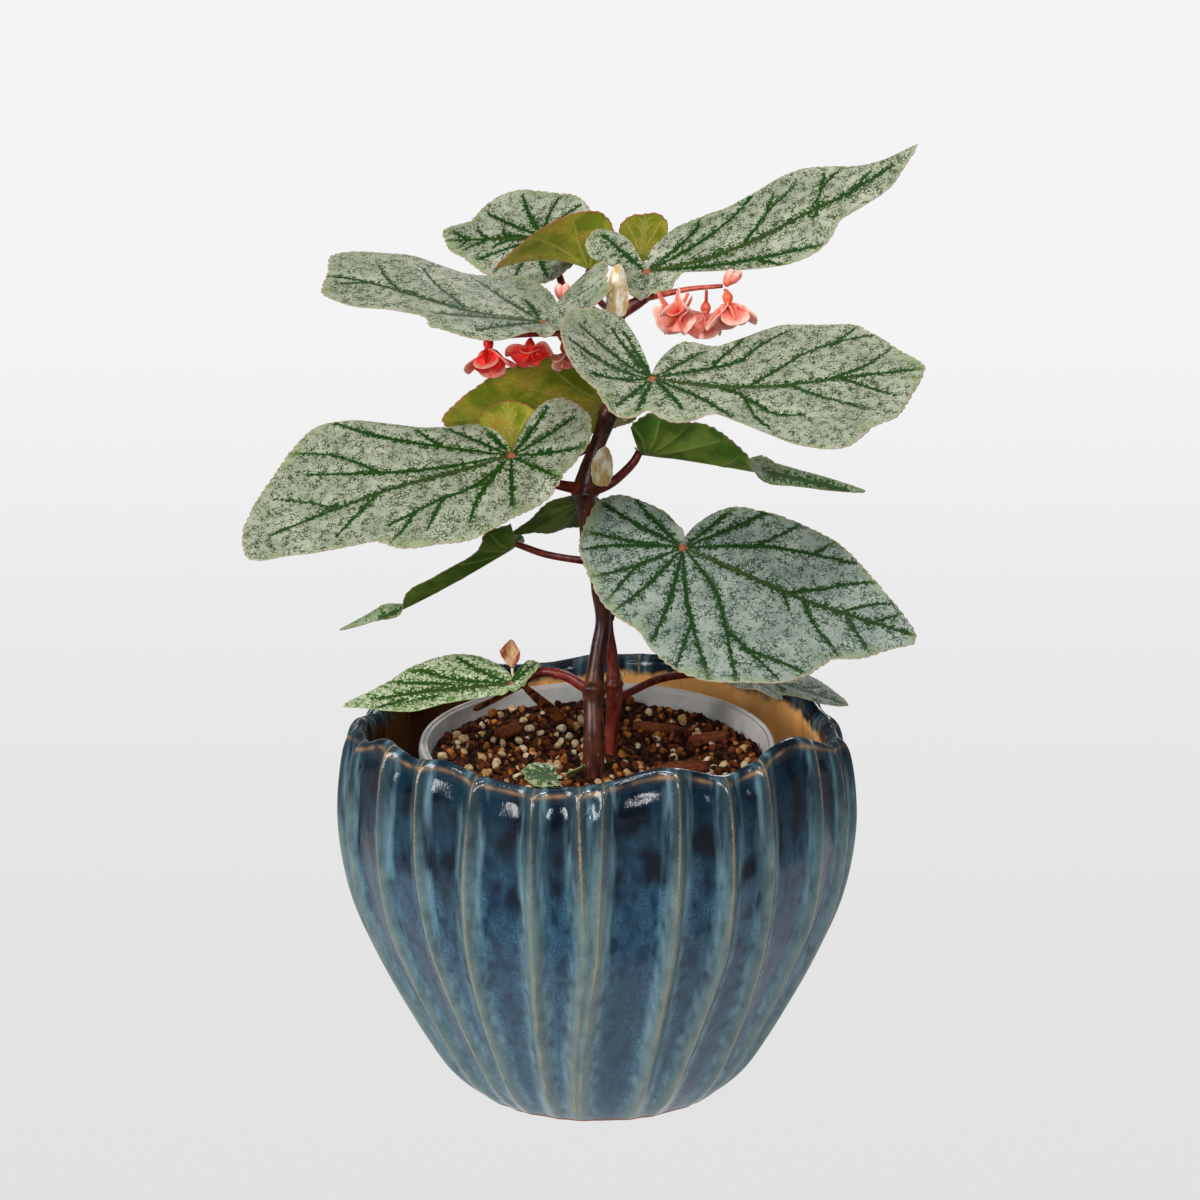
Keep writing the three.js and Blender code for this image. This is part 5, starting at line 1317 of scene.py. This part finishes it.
def flower_shape(flower):
    """Four petals, a deeper coloured inner whorl between them, the seed pod and a stem."""
    way = unit(np.array(flower["hang"], float))
    at = np.array(flower["at"], float)
    whorls = [(petal, 1) for petal in flower["petals"]]
    whorls += [([turn + 45, 0.74 * length, 0.95 * width, 0.4 * open_], 0.6)
               for turn, length, width, open_ in flower["petals"]]
    shapes = []
    for petal, depth in whorls:
        points, faces, values = petal_shape(at, way, petal)
        shapes.append((points, faces, {"reach": depth * values["reach"]}))
    pod = [[*(at + way * run), radius] for run, radius in SEED_POD]
    stem = [[*flower["stalk"], 0.5], [*(at + way * SEED_POD[0][0]), 0.6]]
    for rows in (pod, stem):
        points, faces, _ = tube(rows, 14, 16)
        shapes.append((points, faces, {"reach": np.zeros(len(points))}))
    return joined(shapes)


def bud_shape(bud):
    """Two round halves that lean together at the top, on a short stem."""
    base, faces = ball(4)
    at = np.array(bud["at"], float)
    shapes = []
    for half in (16, -16):
        turn = half + bud["lean"]
        points = base * [0.75 * bud["radius"], 0.9 * bud["radius"], 1.35 * bud["radius"]]
        c, s = cos_sin(turn)
        points = np.stack([c * points[:, 0] + s * points[:, 2], points[:, 1],
                           -s * points[:, 0] + c * points[:, 2]], axis=1)
        points = points + at + [math.copysign(0.35 * bud["radius"], half), 0, 0]
        high = (points[:, 2] - at[2]) / bud["radius"]
        shapes.append((points, faces, {"reach": 0.6 + 0.4 * high}))
    points, faces, _ = tube([[*bud["stalk"], 0.5], [*at, 0.6]], 12, 10)
    shapes.append((points, faces, {"reach": np.zeros(len(points))}))
    return joined(shapes)


# ------------------------------------------------------------------ the finishes in use
silver_leaf = leaf_skin("begonia_leaf_silver", ["#103402", "#427612"], ["#868e79", "#aeb19c"],
                        "#2b3d17")
blue_leaf = leaf_skin("begonia_leaf_bluish", ["#0e3005", "#38661a"], ["#738178", "#9ca598"],
                      "#273c30")
spotted_leaf = leaf_skin("begonia_leaf_spotted", ["#1e4208", "#4c741a"],
                         ["#a4ae88", "#d0d4ba"], "#43651c", 0.66, 1.05, margin="#98a572")
olive_leaf = leaf_skin("begonia_leaf_young", ["#4c5a22", "#6f7a38"], ["#8d9a68", "#a5ae85"],
                       "#5f6a34", 0.6, 0.8, ["#76861a", "#b0b43a"], "#bebc5c", "#a85a28",
                       "#9a4a38", 0.5)
green_leaf = leaf_skin("begonia_leaf_underside", ["#2b5220", "#4d7030"], ["#8a9c78", "#a8b494"],
                       "#56743e", 0.9, 0.8, ["#3f611c", "#64802f"], "#88994e", "#74702c",
                       "#8d7a5c", 0.3)
maroon_cane = cane_skin("begonia_cane", "#2a110e", "#61301f", "#96725a")
red_cane = cane_skin("begonia_cane_young", "#561a12", "#86392a", "#a87460")
red_stalk = cane_skin("begonia_stalk", "#4a1010", "#7c241a", "#9a5a4a")
orange_stalk = cane_skin("begonia_flower_stalk", "#8a2c1c", "#b9573a", "#d08a6a")
dry_brown = dry_skin("withered_leaf", "#4a1a10", "#b06a30", "#241009")
dry_red = dry_skin("dry_bract", "#8a3a22", "#d0a67a", "#5a2416")
dry_cream = dry_skin("papery_stipule", "#c9a869", "#f6f0dc", "#a88850")
salmon_petal = petal_skin("petal_salmon", "#e2623c", "#ec8676", "#f6beac")
red_petal = petal_skin("petal_red", "#ff2216", "#ff4038", "#ffa090")
glaze = pot_glaze()
plastic = milky_plastic()
mix = crumb_skin("bark_and_peat", "#080302", "#1a0b06", "#743817", 0.9, 1.2, 0.6)
pumice = crumb_skin("pumice", "#7a5228", "#b48a52", "#ecdcbc", 0.85, 0.9, 0.3)
grit = crumb_skin("fired_clay_grit", "#38180a", "#6e3414", "#bd7832", 0.85, 0.9, 0.3)
bark = crumb_skin("pine_bark", "#200c06", "#5c2a16", "#a85a34", 0.85, 0.7, 0.5)

# ------------------------------------------------------------------ making the plant
piece("glazed_cachepot", cachepot_shape(), glaze, ["cachepot"])
inner_pot = piece("inner_pot", nursery_shape(), plastic,
                  ["nursery_pot"])
drill_holes(inner_pot)

seeded = np.random.default_rng(11)
piece("mix_body", mix_shape(seeded), mix, ["potting_mix"])
MAIN_KNOTS = [(138.5, 0.5), (182, 0.6), (204, 0.7), (229.4, 0.5), (262.6, 0.4)]
piece("cane_main", swollen(MAIN_CANE, 260, 24, MAIN_KNOTS), maroon_cane, ["main_cane"])
piece("cane_second", swollen(SECOND_CANE, 160, 20, [(136.7, 0.5)]), red_cane,
      ["second_cane"])
piece("stalks_main", stalks_shape(MAIN_STALKS), red_stalk)
piece("stalks_second", stalks_shape(SECOND_STALKS), red_stalk)
piece("stalks_of_flowers", twigs_shape(FLOWER_STALKS), orange_stalk)
piece("stalks_dry", twigs_shape([(0.6, 0.5, BRACT_STALK), (0.9, 0.4, SECOND_SPIKE)]),
      dry_cream)

# Crumbs: count, distance apart, share kept at a place, smallest and largest radius, flatness.
for name, skin, count, apart, kept, least, most, flatness in (
        ("pumice_crumbs", pumice, 170, 3.0,
         lambda x, y: 0.9 if x < 0 else 0.4 if y > -20 else 0.8, 0.9, 2.0, 0.8),
        ("clay_crumbs", grit, 240, 2.6, lambda x, y: 0.9 if x > -20 else 0.6, 0.7, 1.6, 0.8),
        ("bark_crumbs", mix, 620, 1.8, lambda x, y: 1.0, 0.6, 1.8, 0.6)):
    places = scattered(seeded, count, apart, kept)
    sizes = seeded.uniform(least, most, len(places))
    piece(name, crumbs(seeded, places, sizes, flatness), skin, smooth=False)
# Flakes of bark: place, turn, length and width.
flakes = [(30, -6, 16, 20, 11), (38, 18, 35, 16, 7), (21, 28, -25, 20, 4), (14, -28, 10, 14, 6),
          (-30, 24, 60, 14, 6)]
piece("bark_flakes", joined([bark_flake(*flake, seeded) for flake in flakes]), bark)

# Leaves that aren't plain silver: skin, slot and names.
OTHER_LEAVES = [
    (blue_leaf, "leaf_silver", ["leaf_lower_right", "leaf_rim_right"]),
    (spotted_leaf, "leaf_green", ["leaf_low_left", "seedling"]),
    (olive_leaf, "leaf_olive",
     ["leaf_top_folded", "leaf_top_young", "leaf_back_olive", "leaf_small_olive"]),
    (green_leaf, "leaf_green", ["leaf_right_folded", "leaf_left_folded", "leaf_inner_dark"]),
]
for name in LEAVES:
    skin, slot = silver_leaf, "leaf_silver"
    for other_skin, other_slot, names in OTHER_LEAVES:
        if name in names:
            skin, slot = other_skin, other_slot
    piece("veined_" + name, leaf_shape(name), skin, [name])

x, y, z = LEAVES["seedling"]["at"]
bend = [*SEEDLING_STALK, SEEDLING_BEND, 0.6]
seedling_stems = [[[*SEEDLING_STALK, SOIL_HEIGHT - 6, 0.6], bend, [x, y + 0.6, z, 0.55]],
                  [bend, [*SEEDLING_SECOND["at"], 0.5]]]
piece("seedling_stems", joined([tube(rows, 12, 20) for rows in seedling_stems]), orange_stalk)
piece("seedling_second", blade_shape(
    SEEDLING_SECOND, blade_frame(SEEDLING_SECOND["aim"]), 0.45, 120, 24, 60, 0.5, 0.3, 5,
    veins_by_rule(SEEDLING_SECOND["outline"]), 0.2), spotted_leaf)

DEAD_SKINS = {"bract_low": dry_red, "leaf_withered": dry_brown}
for name, blade in SMALL_BLADES.items():
    seed = 70 + list(SMALL_BLADES).index(name)
    shape = blade_shape(blade, blade_frame(blade["aim"]), 0.4, 160, 40, seed, 0.35, 0.4, 5,
                        veins_by_rule(blade["outline"]), 0.2)
    piece("dry_" + name, shape, DEAD_SKINS.get(name, dry_cream),
          [name])

for name, flower in FLOWERS.items():
    red = name in ("flower_left_outer", "flower_left_middle")
    piece("petals_" + name, flower_shape(flower), red_petal if red else salmon_petal,
          [name])
for name, bud in BUDS.items():
    piece("closed_" + name, bud_shape(bud), salmon_petal, [name])


# ------------------------------------------------------------------ stage, light and camera
def light_table():
    """Opal acrylic lit from behind, so that nothing throws a shadow on it; it fades a little
    towards its front."""
    material = bpy.data.materials.new("opal_acrylic")
    material.use_nodes = True
    tree = material.node_tree
    node = partial(add, tree)
    place = node("TexCoord")
    back = node("SeparateXYZ", [place], "Y")
    share = node("MapRange", [back, -0.2, 1.6, 0, 1], interpolation_type="SMOOTHSTEP")
    colour = node("Mix", [share, "#e2e2e3", "#f4f4f4"])
    light = node("Emission", {"Color": colour, "Strength": 1.0})
    tree.links.new(light, tree.nodes["Material Output"].inputs["Surface"])
    return material


def level_sheet(name, corners, height, material):
    """A flat sheet of the stage."""
    mesh = bpy.data.meshes.new(name)
    mesh.from_pydata([(x, y, height) for x, y in corners], [], [range(len(corners))])
    mesh.materials.append(material)
    made = bpy.data.objects.new(name, mesh)
    bpy.context.scene.collection.objects.link(made)


surface("grey_felt", Base_Color="#868686", Roughness=0.95)
level_sheet("floor", [(-12, -12), (12, -12), (12, 12), (-12, 12)], -0.002,
            bpy.data.materials["grey_felt"])
level_sheet("table", [(-0.25, -0.13), (0.25, -0.13), (2.6, 12), (-2.6, 12)], 0, light_table())

world = bpy.data.worlds.new("studio")
world.use_nodes = True
sky = world.node_tree.nodes["Background"].inputs
sky["Color"].default_value = linear("#f4f6f8")
sky["Strength"].default_value = 0.11
bpy.context.scene.world = world

# Softboxes: name, place, height of the point that each looks at, width, height and watts.
for name, place, aim, wide, high, watts in (
        ("window_left", (-1.3, -1.0, 0.8), 0.2, 0.5, 1.0, 24),
        ("window_right", (0.95, -0.9, 0.85), 0.2, 0.12, 0.6, 2),
        ("window_low", (0.15, -1.8, 0.8), 0.2, 0.5, 0.3, 9),
        ("window_front", (0.15, -1.3, 1.6), 0.15, 0.4, 0.32, 16),
        ("ceiling", (0.1, -0.1, 1.9), 0.15, 1.6, 1.6, 7),
        ("window_back", (0.5, 1.6, 1.3), 0.2, 0.6, 0.6, 9)):
    lamp = bpy.data.lights.new(name, "AREA")
    lamp.shape = "RECTANGLE"
    lamp.size, lamp.size_y, lamp.energy = wide, high, watts
    softbox = bpy.data.objects.new(name, lamp)
    softbox.location = place
    gaze = Vector((0, 0, aim)) - Vector(place)
    softbox.rotation_euler = gaze.to_track_quat("-Z", "Y").to_euler()
    bpy.context.scene.collection.objects.link(softbox)

camera_data = bpy.data.cameras.new("camera")
camera_data.lens = 116.7
camera_data.sensor_width = 36
camera = bpy.data.objects.new("camera", camera_data)
camera.location = (0.001, -1.25, 0.4758)
camera.rotation_euler = (math.radians(90 - 13.85), 0, 0)
bpy.context.scene.collection.objects.link(camera)
bpy.context.scene.camera = camera
bpy.context.scene.view_settings.view_transform = "Standard"
